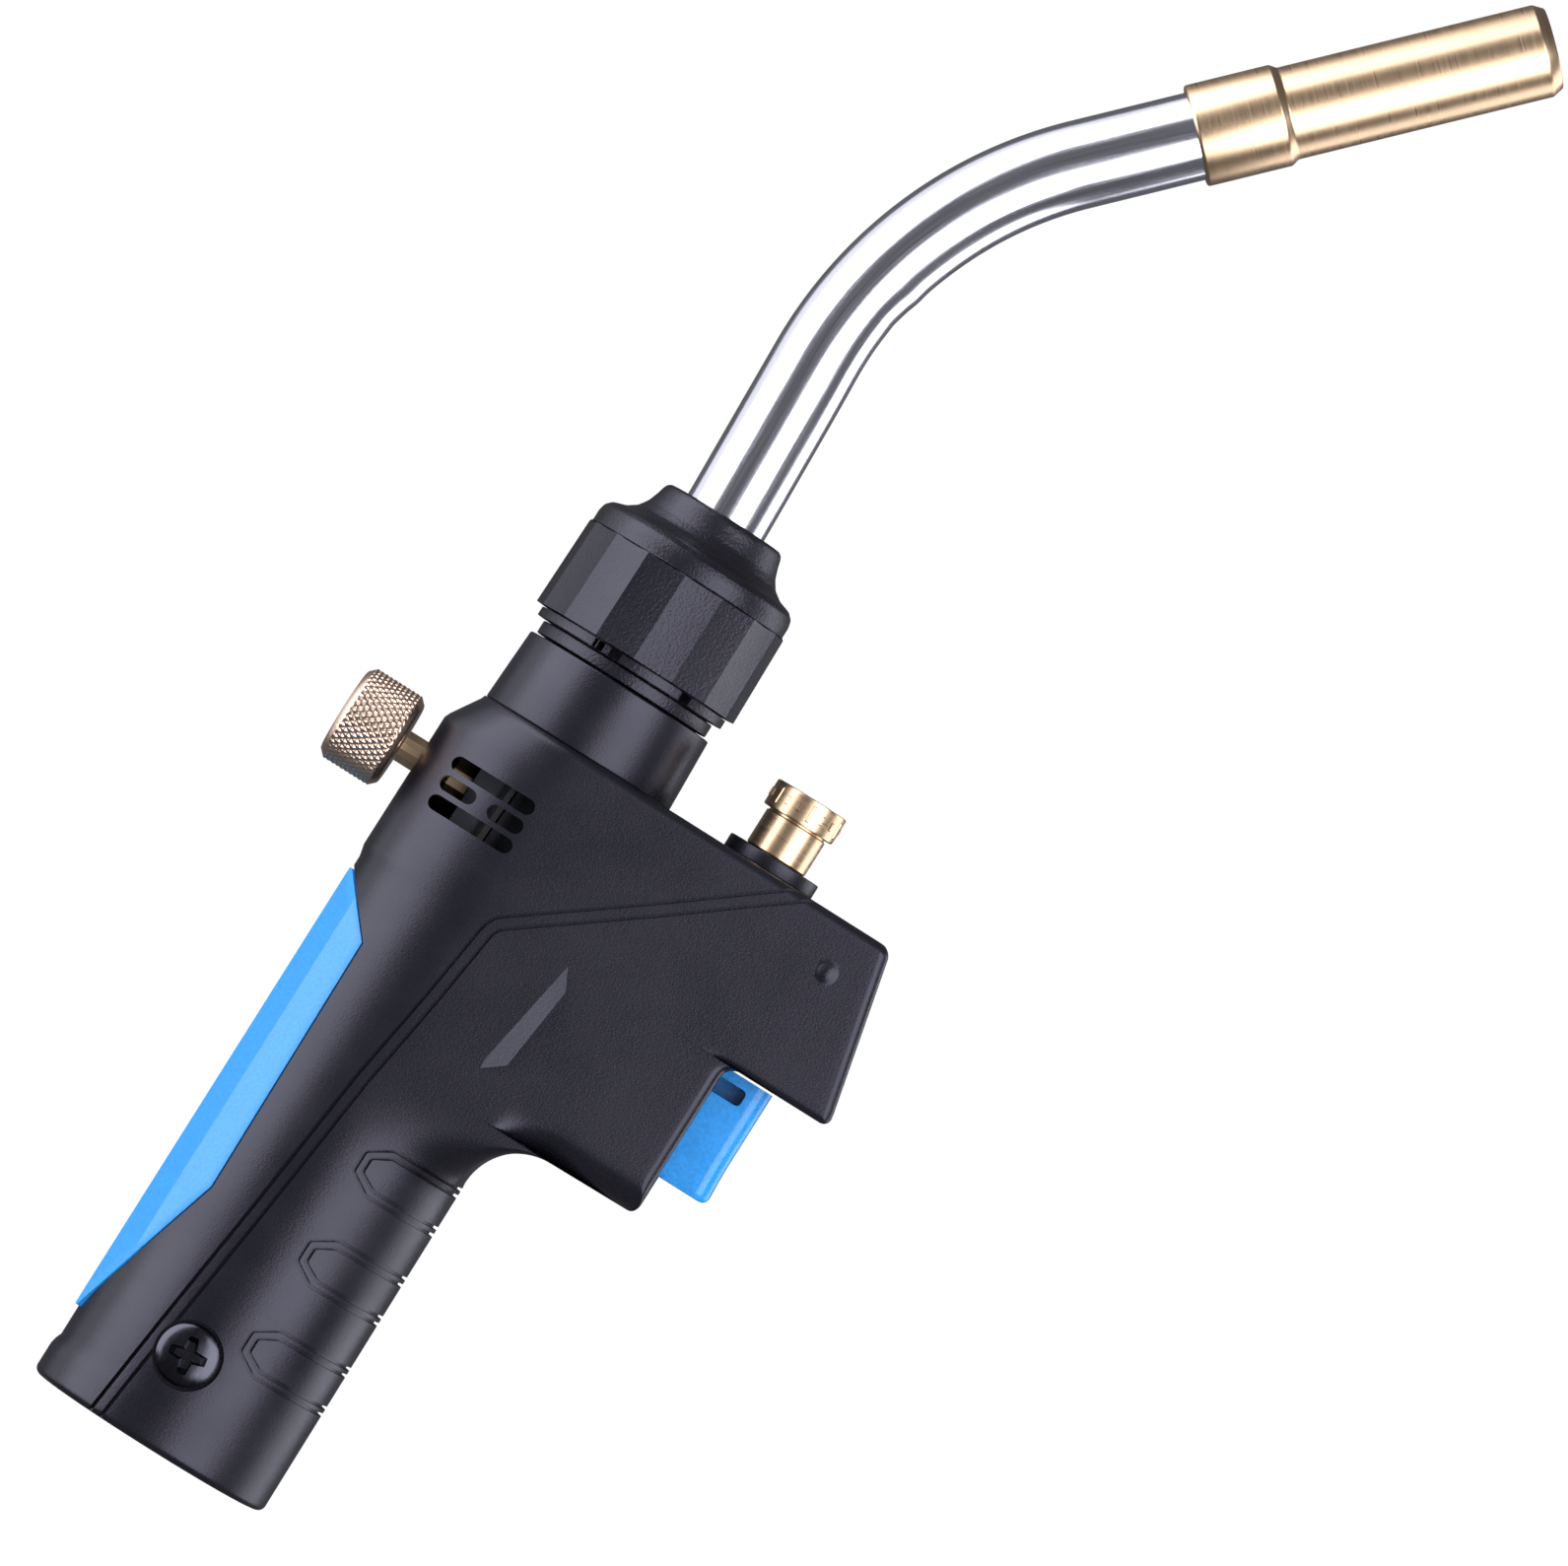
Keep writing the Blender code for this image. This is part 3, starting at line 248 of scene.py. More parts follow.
def make_finishes():
    """Every finish, by the name of its slot in the record or of its own piece."""
    colours = bpy.context.scene.torch_colours
    sizes = bpy.context.scene.torch_sizes
    grain, nut_grain = sizes.body_grain / MM, sizes.nut_grain / MM
    return {
        # Glass-filled nylon from a fine-eroded tool: matt blue-black that still shows soft window bands, their
        # violet tint painted into its gloss in place of bluish light.
        "moulded_black": moulded("eroded_black_nylon", colours.body, grain, 0.03, 0.34, tint=PAINTED_VIOLET_GLOSS),
        # The same plastic from a coarser tool: it sparkles where light grazes it, with the same violet tint
        # painted into its gloss in place of bluish light.
        "nut_black": moulded("coarse_black_nylon", colours.nut, nut_grain, 0.085, 0.36, 0.2, tint=PAINTED_VIOLET_GLOSS),
        # ABS moulded in a smooth tool: clear even blue with a soft gloss.
        "panel_blue": moulded("satin_blue_abs", colours.panel, 0.5, 0.004, 0.29, 0.03),
        # ABS moulded in a polished tool: glossier, with a clean highlight down its front.
        "trigger_blue": moulded("gloss_blue_abs", colours.trigger, 0.6, 0.003, 0.24, 0.03),
        # Free-cutting brass off a lathe: rings left by the tool run round it.
        "brass": worked_metal("turned_brass", colours.brass, 0.31, 0.35, -60.0, 0.0022, 0.2),
        # The same brass where no unwrapped surface is at hand: fine lines across its height.
        "brass_block": worked_metal("milled_brass", colours.brass, 0.34, 0.5, -30.0, 0.003, uv=False),
        # Copper-rich brass, knurled: paler and warmer, dulled by handling.
        "rose_brass": worked_metal("knurled_rose_brass", colours.rose, 0.30, 0.4, 6.0, 0.003),
        # Stainless tube, drawn, bent and buffed: near-white bands with fine lengthwise lines.
        "stainless": worked_metal("drawn_stainless", colours.steel, 0.17, 0.25, 90.0, 0.003, 0.14),
        # Zinc-plated spring and lever steel: greyer, with rolling lines.
        "steel": worked_metal("plated_steel", shade(colours.steel, 0.62)[:3], 0.34, 0.4, 20.0, 0.003, uv=False),
        # Zinc pressure casting: grey, dull and cloudy; its grey is darkened as painted shade for the dim inside of
        # the grip, seen through the vents.
        "cast_zinc": worked_metal("cast_zinc", colours.zinc, 0.5, 0.8, 1.0, 0.012, 0.2, uv=False),
        # Steel screw with black oxide and oil: dark mirror with a few rub marks.
        "screw_black": worked_metal("black_oxide_steel", shade(colours.screw, 7.5)[:3], 0.24, 0.6, 4.0, 0.002, 0.3,
                                    uv=False),
        # Nitrile rubber: deep, matt and faintly dusty.
        "rubber": moulded("nitrile_rubber", colours.rubber, 0.4, 0.01, 0.72, 0.2),
        # Glazed steatite: off-white under a clear glaze.
        "ceramic": moulded("glazed_steatite", colours.ceramic, 0.8, 0.003, 0.22, 0.04, 0.5),
        # Silicone cable cover: soft black with a dull gloss.
        "wire_black": moulded("silicone_cover", colours.wire, 0.5, 0.004, 0.45, 0.08),
        # Plain black ABS case of the igniter.
        "piezo_black": moulded("black_abs", colours.body, 0.4, 0.006, 0.38, 0.1),
    }


FINISHES = {}


def finish(slot):
    if not FINISHES:
        FINISHES.update(make_finishes())
    return FINISHES[slot]


# ---- making meshes -------------------------------------------------------------------------------
def skin(name, points, wrap=True, loop=False, caps=False):
    """A piece from a grid of points, in mm: one row per level, one column per step round. Each quad
    joins a point to its right and upper neighbours, the last column meeting the first when it wraps
    and the last row the first when it loops. The unwrapped surface holds the distance round a row and
    the distance along a column, in metres."""
    rows, cols = points.shape[:2]
    level, step = np.meshgrid(np.arange(rows if loop else rows - 1), np.arange(cols if wrap else cols - 1),
                              indexing="ij")
    level, step = level.ravel(), step.ravel()
    up, right = (level + 1) % rows, (step + 1) % cols
    quads = np.stack([level * cols + step, level * cols + right, up * cols + right, up * cols + step], axis=-1)
    faces = quads.tolist()
    if caps:
        faces += [list(range(cols)), list(range((rows - 1) * cols, rows * cols))]
    mesh = bpy.data.meshes.new(name)
    mesh.from_pydata((points.reshape(-1, 3) * MM).tolist(), [], faces)
    around = np.linalg.norm(np.diff(points[rows // 2], axis=0, append=points[rows // 2][:1]), axis=1)
    around = np.concatenate([[0.0], np.cumsum(around)]) * MM
    upward = np.linalg.norm(np.diff(points[:, 0], axis=0, append=points[:1, 0]), axis=1)
    upward = np.concatenate([[0.0], np.cumsum(upward)]) * MM
    u = np.stack([around[step], around[step + 1], around[step + 1], around[step]], axis=-1)
    v = np.stack([upward[level], upward[level], upward[level + 1], upward[level + 1]], axis=-1)
    flat = np.zeros((len(mesh.loops), 2), np.float32)
    flat[:u.size] = np.stack([u.ravel(), v.ravel()], axis=-1)
    mesh.uv_layers.new(name="Surface").data.foreach_set("uv", flat.ravel())
    made = bpy.data.objects.new(name, mesh)
    bpy.context.scene.collection.objects.link(made)
    settle(made)
    return made


def settle(made):
    """Joins points that coincide, drops what has collapsed and turns every face outwards."""
    bm = bmesh.new()
    bm.from_mesh(made.data)
    bmesh.ops.remove_doubles(bm, verts=bm.verts, dist=2e-6)
    bmesh.ops.dissolve_degenerate(bm, edges=bm.edges, dist=1e-7)
    bmesh.ops.recalc_face_normals(bm, faces=bm.faces)
    bm.to_mesh(made.data)
    bm.free()


def carve(target, tools, operation="DIFFERENCE"):
    """Takes each tool off the target, or adds it, and leaves the plain result in the target."""
    for tool in tools:
        step = target.modifiers.new("Shape", "BOOLEAN")
        step.operation, step.solver, step.object = operation, "MANIFOLD", tool
    bpy.context.view_layer.update()
    graph = bpy.context.evaluated_depsgraph_get()
    old = target.data
    target.data = bpy.data.meshes.new_from_object(target.evaluated_get(graph))
    target.modifiers.clear()
    bpy.data.meshes.remove(old)
    for tool in tools:
        bpy.data.meshes.remove(tool.data)
    return target


def dress(piece, slot, body, nodes, angle=32.0, surface=None):
    """Gives a piece its finish and its place on the frame. Edges sharper than the angle stay crisp."""
    piece.data.name = piece.name
    piece.data.materials.clear()
    piece.data.materials.append(finish(surface or slot))
    piece.data.shade_smooth()
    piece.data.set_sharp_from_angle(angle=math.radians(angle))
    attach(piece, body)
    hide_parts(*nodes)
    return piece


def frame_of(axis):
    """Two unit vectors square to the axis, the first as near to -Y as it can be."""
    along = np.array(axis, float) / np.linalg.norm(axis)
    side = np.array((0.0, -1.0, 0.0)) if abs(along[1]) < 0.9 else np.array((1.0, 0.0, 0.0))
    side = side - along * side.dot(along)
    side /= np.linalg.norm(side)
    return along, side, np.cross(along, side)


def eased(profile, radius, loop=False, steps=5):
    """The profile with each corner rounded: a curve leaves the corner's first side and joins its
    second, at (1-t)^2 start + 2t(1-t) corner + t^2 end."""
    corners = np.array(profile, float)
    before, after = np.roll(corners, 1, axis=0), np.roll(corners, -1, axis=0)
    reach_in = np.minimum(radius, 0.45 * np.linalg.norm(before - corners, axis=1))[:, None]
    reach_out = np.minimum(radius, 0.45 * np.linalg.norm(after - corners, axis=1))[:, None]
    toward = (before - corners) / np.maximum(np.linalg.norm(before - corners, axis=1), 1e-9)[:, None]
    onward = (after - corners) / np.maximum(np.linalg.norm(after - corners, axis=1), 1e-9)[:, None]
    start, end = corners + toward * reach_in, corners + onward * reach_out
    if not loop:
        start[0] = end[0] = corners[0]
        start[-1] = end[-1] = corners[-1]
    t = np.linspace(0.0, 1.0, steps)[None, :, None]
    curve = (1 - t) ** 2 * start[:, None] + 2 * t * (1 - t) * corners[:, None] + t ** 2 * end[:, None]
    return curve.reshape(-1, 2)


def turned_points(profile, centre=(0, 0, 0), axis=(0, 0, 1), steps=None, bulge=None):
    """Surface of revolution: each (radius, height) pair is carried once round the axis. `bulge` adds
    to the radius, given the turn and the profile's own points."""
    steps = steps or bpy.context.scene.torch_sizes.turn_steps
    along, side, over = frame_of(axis)
    profile = np.array(profile, float)
    turn = np.linspace(0.0, 2 * math.pi, steps, endpoint=False)[None, :]
    radius = np.repeat(profile[:, :1], steps, axis=1)
    if bulge is not None:
        radius = radius + bulge(turn, profile[:, :1], profile[:, 1:])
    rim = np.cos(turn)[..., None] * side + np.sin(turn)[..., None] * over
    return np.array(centre, float) + profile[:, 1][:, None, None] * along + radius[..., None] * rim


def turned(name, profile, centre=(0, 0, 0), axis=(0, 0, 1), steps=None, bulge=None, loop=False):
    return skin(name, turned_points(profile, centre, axis, steps, bulge), loop=loop)


def prism(name, outline, low=-FAR, high=FAR):
    """A side outline of (x, z) points carried straight through the thickness from y=low to y=high."""
    outline = np.array(outline, float)
    flat = np.stack([outline[:, 0], np.zeros(len(outline)), outline[:, 1]], axis=-1)
    return skin(name, np.stack([flat + (0, low, 0), flat + (0, high, 0)]), caps=True)


def block(name, low, high):
    return prism(name, [(low[0], low[2]), (high[0], low[2]), (high[0], high[2]), (low[0], high[2])],
                 low[1], high[1])


# ---- the moulded body's form ---------------------------------------------------------------------
def quarter(count, radius):
    """Heights and cuts of a quarter-round edge: at height h the cut is r - sqrt(r^2 - (r - h)^2)."""
    height = radius * (1 - np.cos(np.linspace(0.0, math.pi / 2, count)))
    return height, radius - np.sqrt(np.maximum(0.0, radius ** 2 - (radius - height) ** 2))


def body_rows(inset):
    """Level, front, squareness and edge cut of each section. The throat under the block follows an
    arc, the front of the nose a straight slope, and the edges quarter rounds."""
    def rows(z, front, square, cut=0.0):
        z = np.atleast_1d(np.asarray(z, float))
        return np.stack(np.broadcast_arrays(z, front, square, cut), axis=-1)

    def smooth(x):
        return x * x * (3 - 2 * x)

    def slope(z):
        share_up = np.clip((z - NOSE_START) / (NOSE_LEVEL - NOSE_START), 0, 1.05)
        return NOSE_FRONT + (NOSE_TOP - NOSE_FRONT) * share_up

    foot, foot_cut = quarter(6, FOOT_EDGE)
    swing = np.radians(np.linspace(0.0, 90.0, 26))
    reach = THROAT_R + inset
    arc = THROAT_Z + reach * np.sin(swing)
    share = np.clip((arc - GRIP_END) / (BLOCK_Z - GRIP_END), 0.0, 1.0)
    grip = np.concatenate([np.linspace(2.0, 52.0, 51), np.linspace(53.0, 58.6, 5)])
    grip_front = GRIP_FRONT + 0.4 * np.maximum(0.0, 1 - grip / 55)
    grip_square = np.clip((grip - GRIP_END) / (BLOCK_Z - GRIP_END), 0.0, 1.0)
    throat = rows(arc, THROAT_X - reach * np.cos(swing) + inset, smooth(share))
    floor = BLOCK_Z + inset
    if inset:
        return np.concatenate([
            rows(inset, GRIP_FOOT, 0.0), rows(grip[2:], grip_front[2:], smooth(grip_square[2:])), throat,
            rows([floor + 0.1, NOSE_Z + inset - 0.1], BLOCK_FRONT, 1.0), rows(NOSE_Z + inset, NOSE_FRONT, 1.0),
            rows(NOSE_LEVEL - inset, NOSE_TOP, 1.0), rows(TOP_Z - inset, NOSE_TOP, 1.0)])
    low, low_cut = quarter(7, LOW_EDGE)
    under, under_cut = quarter(12, UNDER_EDGE)
    top, top_cut = quarter(8, TOP_EDGE)
    fillet = np.radians(np.linspace(0.0, 88.0, 9))
    side = np.linspace(NOSE_Z + LOW_EDGE + 1, TOP_Z - TOP_EDGE - 0.6, 26)
    return np.concatenate([
        rows(foot, GRIP_FOOT, 0.0, foot_cut), rows(grip, grip_front, smooth(grip_square)), throat,
        rows(floor + 0.05 + under, BLOCK_FRONT, 1.0, under_cut),
        rows(np.linspace(floor + UNDER_EDGE + 1, NOSE_Z - 3.0, 20), BLOCK_FRONT, 1.0),
        rows(NOSE_Z - 0.05 - NOSE_FILLET * (1 - np.sin(fillet)),
             BLOCK_FRONT + NOSE_FILLET * (1 - np.cos(fillet)), 1.0),
        rows(NOSE_Z + low, NOSE_FRONT, 1.0, low_cut), rows(side, slope(side), 1.0),
        rows(TOP_Z - top[::-1], slope(TOP_Z - top[::-1]), 1.0, top_cut[::-1])])


def drawn_in(x):
    """How far the side has drawn in at x: DRAFT times (sqrt(d^2 + s^2) - s), d being the distance
    forward of the oval's middle and s DRAFT_START."""
    return DRAFT * (np.sqrt(np.maximum(0.0, x - OVAL_X) ** 2 + DRAFT_START ** 2) - DRAFT_START)


def body_points(rows, inset, stretch):
    """Closed ring of points at each level. The back half is an oval, x = a cos t and y = b sin t. The
    front half goes from the same oval to a flat side, a rounded corner and a flat front as its
    squareness goes from 0 to 1."""
    z, front, square, cut = (rows[:, k:k + 1] for k in range(4))
    back = OVAL_X - np.interp(z, BACK_LINE[:, 0], BACK_LINE[:, 1]) - inset
    at_end = (z < FOOT_EDGE) | (z > TOP_Z - TOP_EDGE - 0.01)
    half = HALF_WIDTH - inset - np.where(at_end, cut, 0.0)
    back = back - np.where(z < FOOT_EDGE, cut, 0.0)
    rise = np.clip(z - BLOCK_Z - 0.05, 0, LOW_EDGE)
    blunt = LOW_EDGE - np.sqrt(LOW_EDGE ** 2 - (LOW_EDGE - rise) ** 2)
    reach = front - OVAL_X - inset - np.where((z > BLOCK_Z) & (z < NOSE_Z - 4) & (cut > 0), blunt, cut)
    turn = np.radians(np.linspace(180.0, 90.0, 34, endpoint=False))[None, :]
    rear = (OVAL_X + back * np.cos(turn), half * np.sin(turn))
    step = np.concatenate([np.linspace(0, 6, 40, endpoint=False), np.linspace(6, 10, 12, endpoint=False),
                           np.linspace(10, 13, 14)])[None, :]
    corner = np.minimum(CORNER, half / 2)
    arc = np.radians(90.0 * np.clip((step - 6) / 4, 0, 1))
    x = OVAL_X + (reach - corner) * np.clip(step / 6, 0, 1) + corner * np.sin(arc)
    y = (half - corner) * (1 - np.clip((step - 10) / 3, 0, 1)) + corner * np.cos(arc)
    sweep = np.radians(90.0 - 90.0 * step / 13)
    y = y - drawn_in(x) * np.clip(y / half, 0, 1)
    x = square * x + (1 - square) * (OVAL_X + reach * np.cos(sweep))
    y = square * y + (1 - square) * half * np.sin(sweep)
    below = z < NOSE_Z - 4
    start, run = np.where(below, GRIP_FRONT, BLOCK_FRONT - 3.0), np.where(below, 8.0, 3.0)
    trimmed = half - drawn_in(x) * square - cut * np.clip((x - start) / run, 0, 1)
    y = np.where(~at_end & (cut > 0), np.minimum(y, trimmed), y)
    upper_x = np.concatenate([rear[0], x], axis=1)
    upper_y = np.maximum(0, np.concatenate([rear[1], y], axis=1))
    ring_x = np.concatenate([upper_x, upper_x[:, -2:0:-1]], axis=1)
    ring_y = np.concatenate([upper_y, -upper_y[:, -2:0:-1]], axis=1)
    level = np.repeat(z, ring_x.shape[1], axis=1)
    level[0] -= stretch
    level[-1] += stretch
    return np.stack([ring_x, ring_y, level], axis=-1)


def body_form(name, inset=0.0, stretch=0.0):
    return skin(name, body_points(body_rows(inset), inset, stretch), caps=True)


def beside(line, shift):
    """The polyline moved sideways: each point goes along the mean of its neighbours' directions,
    turned a quarter turn."""
    ahead = np.gradient(line, axis=0)
    ahead /= np.linalg.norm(ahead, axis=1)[:, None]
    return line + shift * np.stack([ahead[:, 1], -ahead[:, 0]], axis=-1)


def ribbon(line, width):
    """Closed outline of the given width round a polyline."""
    return np.concatenate([beside(line, width / 2), beside(line, -width / 2)[::-1]])


def finger_line(z, half, end, corner):
    """Flat U open to the front, its closed end cut to half an octagon."""
    path = [(FAR, z + half), (corner, z + half), (end, z + 0.45 * half), (end, z - 0.45 * half),
            (corner, z - half), (FAR, z - half)]
    return eased(path, 0.5, steps=4)[3:-3]


def slot_outline(z, low, high, height):
    """A slot with half-round ends."""
    r = height / 2
    turn = np.radians(np.linspace(0, 180, 13))
    left = np.stack([low + r - r * np.sin(turn), z + r * np.cos(turn)], axis=-1)
    right = np.stack([high - r + r * np.sin(turn), z - r * np.cos(turn)], axis=-1)
    return np.concatenate([left, right])


def skin_cutters(name, outlines, depth):
    """What has to come off the body to sink the side outlines into its skin by a depth."""
    made = []
    for k, outline in enumerate(outlines):
        tool = prism(f"{name}_{k}", outline)
        made.append(carve(tool, [body_form(f"{name}_{k}_core", depth, 6.0)]))
    return made


def housing(name, side):
    """One moulded half: the body's form, hollowed, parted on the middle plane and pierced."""
    sizes = bpy.context.scene.torch_sizes
    half = body_form(name)
    away = side * FAR * 2
    middle = side * 0.15
    tools = [body_form(name + "_inside", WALL), block(name + "_parting", (-90, min(middle, -away), -60),
                                                      (130, max(middle, -away), 210))]
    slots = [slot_outline(z, low, high, VENT_HEIGHT) for z, low, high in VENTS]
    if side < 0:
        tools += [prism(f"{name}_vent_{k}", slot) for k, slot in enumerate(slots)]
    else:
        tools += skin_cutters(name + "_vent", slots, BLIND_VENT)
    width = sizes.groove_width / MM
    bands = [ribbon(GRIP_BAND, width), ribbon(beside(GRIP_BAND, BAND_SPACING), width)]
    tools += skin_cutters(name + "_panel_seat", [PANEL_LINE], PANEL_DEPTH)
    tools += skin_cutters(name + "_band", bands, sizes.groove_depth / MM)
    fingers = [ribbon(finger_line(z, half, end, corner), width) for z in FINGER_Z
               for half, end, corner in ((4.1, 5.55, 9.2), (2.9, 6.8, 9.7))]
    tools += skin_cutters(name + "_finger", fingers, sizes.finger_depth / MM)
    tools += [
        turned(name + "_socket", [(0, -FAR), (15.0, -FAR), (15.0, WALL + 1), (0, WALL + 1)]),
        turned(name + "_neck", [(0, 121.0), (14.3, 121.0), (14.3, 160.0), (0, 160.0)]),
        turned(name + "_lock", [(0, 121.0), (3.4, 121.0), (3.4, 160.0), (0, 160.0)], (LOCK_X, 0, 0), steps=48),
        turned(name + "_needle", [(0, -60), (3.1, -60), (3.1, -16), (0, -16)], (0, 0, FLAME_Z), (1, 0, 0), 48),
        block(name + "_mouth", (42.0, -10.3, 76.0), (48.5, 10.3, NOSE_Z - 0.05)),
    ]
    if side < 0:
        bore = [(0, 10), (2.3, 10), (2.3, 16.2), (SCREW_BORE, 16.2), (SCREW_BORE, FAR), (0, FAR)]
        tools.append(turned(name + "_screw", bore, (GRIP_SCREW[0], 0, GRIP_SCREW[1]), (0, -1, 0), 64))
    else:
        tools += [turned(f"{name}_screw_{k}", [(0, 6), (1.6, 6), (1.6, 9), (3.1, 9), (3.1, FAR), (0, FAR)],
                         (x, 0, z), (0, 1, 0), 48) for k, (x, z) in enumerate(BODY_SCREWS)]
    carve(half, tools)
    if side < 0:
        carve(half, [facet_wedge(name), round_bump(name)], "UNION")
    return dress(half, "moulded_black", "grip", [name])


def facet_wedge(name):
    """A thin wedge on the side of the block, rising from its left edge to its right edge."""
    outline = np.array([(16.6, 96.2), (13.4, 77.4), (13.5, 75.9), (16.8, 78.4), (18.4, 92.6)])
    left = 13.4 + (outline[:, 1] - 77.4) * 3.2 / 18.8
    share = np.clip((outline[:, 0] - left) / 2.4, 0, 1)
    side = drawn_in(outline[:, 0]) - HALF_WIDTH
    deep = np.stack([outline[:, 0], side + 0.8, outline[:, 1]], axis=-1)
    proud = np.stack([outline[:, 0], side - 0.02 - 1.3 * share, outline[:, 1]], axis=-1)
    return skin(name + "_facet", np.stack([deep, proud]), caps=True)


def round_bump(name):
    """A low dome: its height falls off as the cosine of the distance from its middle."""
    reach = np.linspace(0, 1, 10)
    x, z = BODY_SCREWS[0]
    side = HALF_WIDTH - drawn_in(x)
    profile = np.stack([1.9 * reach, side + 0.5 * np.cos(reach * math.pi / 2) ** 1.2 - 0.03], axis=-1)
    profile = np.concatenate([[(0, side - 1)], [(1.9, side - 1)], profile[::-1]])
    return turned(name + "_bump", profile, (x, 0, z), (0, -1, 0), 40)


# ---- pieces --------------------------------------------------------------------------------------
def back_panel():
    """Blue panel: at each level a five-sided section goes round the back of the grip between the two
    slanting edges of its seat, with a crease down each side."""
    grown = beside(PANEL_LINE, -PANEL_GAP)
    level = np.concatenate([np.linspace(12.2, grown[2, 1], 40, endpoint=False),
                            np.linspace(grown[2, 1], grown[3, 1], 44, endpoint=False),
                            np.linspace(grown[3, 1], 91.2, 24)])
    start = np.interp(level, grown[:, 1], grown[:, 0])
    crease, back, flank = -16.7, -20.15, 4.2
    span = (OVAL_X - start) / (OVAL_X + 20.5)
    rim = HALF_WIDTH * np.sqrt(np.clip(1 - span ** 2, 0, 1))
    bend = HALF_WIDTH * math.sqrt(1 - ((OVAL_X - crease) / (OVAL_X + 20.5)) ** 2)
    line_x = np.array([-11.0, crease, back])
    line_y = np.array([14.95, bend, flank])
    count = 13
    share = np.linspace(0, 1, count)[None, :]
    first_end = np.minimum(start, crease)[:, None]
    first = start[:, None] + (first_end - start[:, None]) * share
    second = first_end + (back - first_end) * share
    x = np.concatenate([first[:, :-1], second], axis=1)
    y = np.interp(-x, -line_x, line_y)
    y = y - 0.4 * np.clip(1 - (start[:, None] - x) / 1.3, 0, 1) ** 1.5
    flat_y = flank * (1 - np.linspace(0, 1, 6)[1:])[None, :] * np.ones((len(level), 1))
    x = np.concatenate([x, np.full_like(flat_y, back)], axis=1)
    y = np.concatenate([y, flat_y], axis=1)
    x = np.concatenate([x, x[:, -2::-1]], axis=1)
    y = np.concatenate([y, -y[:, -2::-1]], axis=1)
    z = np.repeat(level[:, None], x.shape[1], axis=1)
    outer = np.stack([x, y, z], axis=-1)
    to_middle = np.stack([OVAL_X - x, -y, np.zeros_like(x)], axis=-1)
    inner = outer + to_middle / np.linalg.norm(to_middle, axis=-1)[..., None] * PANEL_WALL
    piece = skin("blue_back_panel", np.concatenate([outer, inner[:, ::-1]], axis=1), caps=False)
    close_ends(piece)
    return dress(piece, "panel_blue", "grip", ["back_panel"], 20.0)


def close_ends(piece):
    bm = bmesh.new()
    bm.from_mesh(piece.data)
    open_edges = [edge for edge in bm.edges if edge.is_boundary]
    bmesh.ops.holes_fill(bm, edges=open_edges, sides=0)
    bmesh.ops.recalc_face_normals(bm, faces=bm.faces)
    bm.to_mesh(piece.data)
    bm.free()


def trigger():
    """Trigger: a rounded rectangle lofted upwards, drawn in at its foot, with a slot in each side."""
    t = TRIGGER
    edge, cut = quarter(8, 1.3)
    level = np.concatenate([t["low"] + edge, np.linspace(t["low"] + 2.0, t["high"], 12)])[:, None]
    cut = np.concatenate([cut, np.zeros(12)])[:, None]
    lean = 0.35 * np.clip((84.0 - level) / 8.0, 0, 1) ** 2
    front, half, rear = t["front"] - cut - 0.35 + lean, t["half"] - cut * 0.5, t["rear"]
    corner = 2.5
    turn = np.radians(np.linspace(0, 90, 14))[None, :]
    x = np.concatenate([rear + 0 * level, front - corner + corner * np.sin(turn)], axis=1)
    y = np.concatenate([half, half - corner + corner * np.cos(turn)], axis=1)
    x, y = np.concatenate([x, x[:, ::-1]], axis=1), np.concatenate([y, -y[:, ::-1]], axis=1)
    piece = skin("blue_trigger", np.stack([x, y, np.repeat(level, x.shape[1], axis=1)], axis=-1), caps=True)
    low, high, end = TRIGGER_SLOT
    outline = eased([(30.0, low), (end, low), (end, high), (30.0, high)], 0.9, loop=True)
    carve(piece, [prism("slot_right", outline, -FAR, -4.5), prism("slot_left", outline, 4.5, FAR),
                  block("pocket", (41.0, -7.6, 70.0), (50.5, 7.6, 91.0))])
    carve(piece, [block("pusher", (28.35, -3.0, 88.6), (39.0, 3.0, 91.4))], "UNION")
    return dress(piece, "trigger_blue", "trigger_button", ["trigger"])


def coupling_nut():
    """Nut: sixteen flats, where the radius is the ridge's times cos(half a flat) / cos(angle from the
    flat's middle), under a plain shoulder and a hollow cone, and a stepped bore inside."""
    outer = eased(NUT_OUTER, 0.35, steps=4)
    rise = np.linspace(141.5, 155.8, 12)
    low = np.stack([np.interp(rise, [141.2, 156.2], [17.85, 17.55]), rise], axis=-1)
    outer = np.concatenate([outer[:4], low, outer[4:]])
    profile = np.concatenate([outer, NUT_INNER])
    half_flat = math.pi / NUT_FLATS

    def flats(turn, radius, height):
        middle = np.abs((turn % (2 * half_flat)) - half_flat)
        share = 1.2 * (math.cos(half_flat) / np.cos(middle) - 1.0)
        return np.where((height < 156.25) & (radius > 16.5), radius * share, 0.0)

    piece = turned("faceted_nut", profile, steps=NUT_FLATS * 12, bulge=flats, loop=True)
    return dress(piece, "nut_black", "nut", ["coupling_nut"], 8.0)


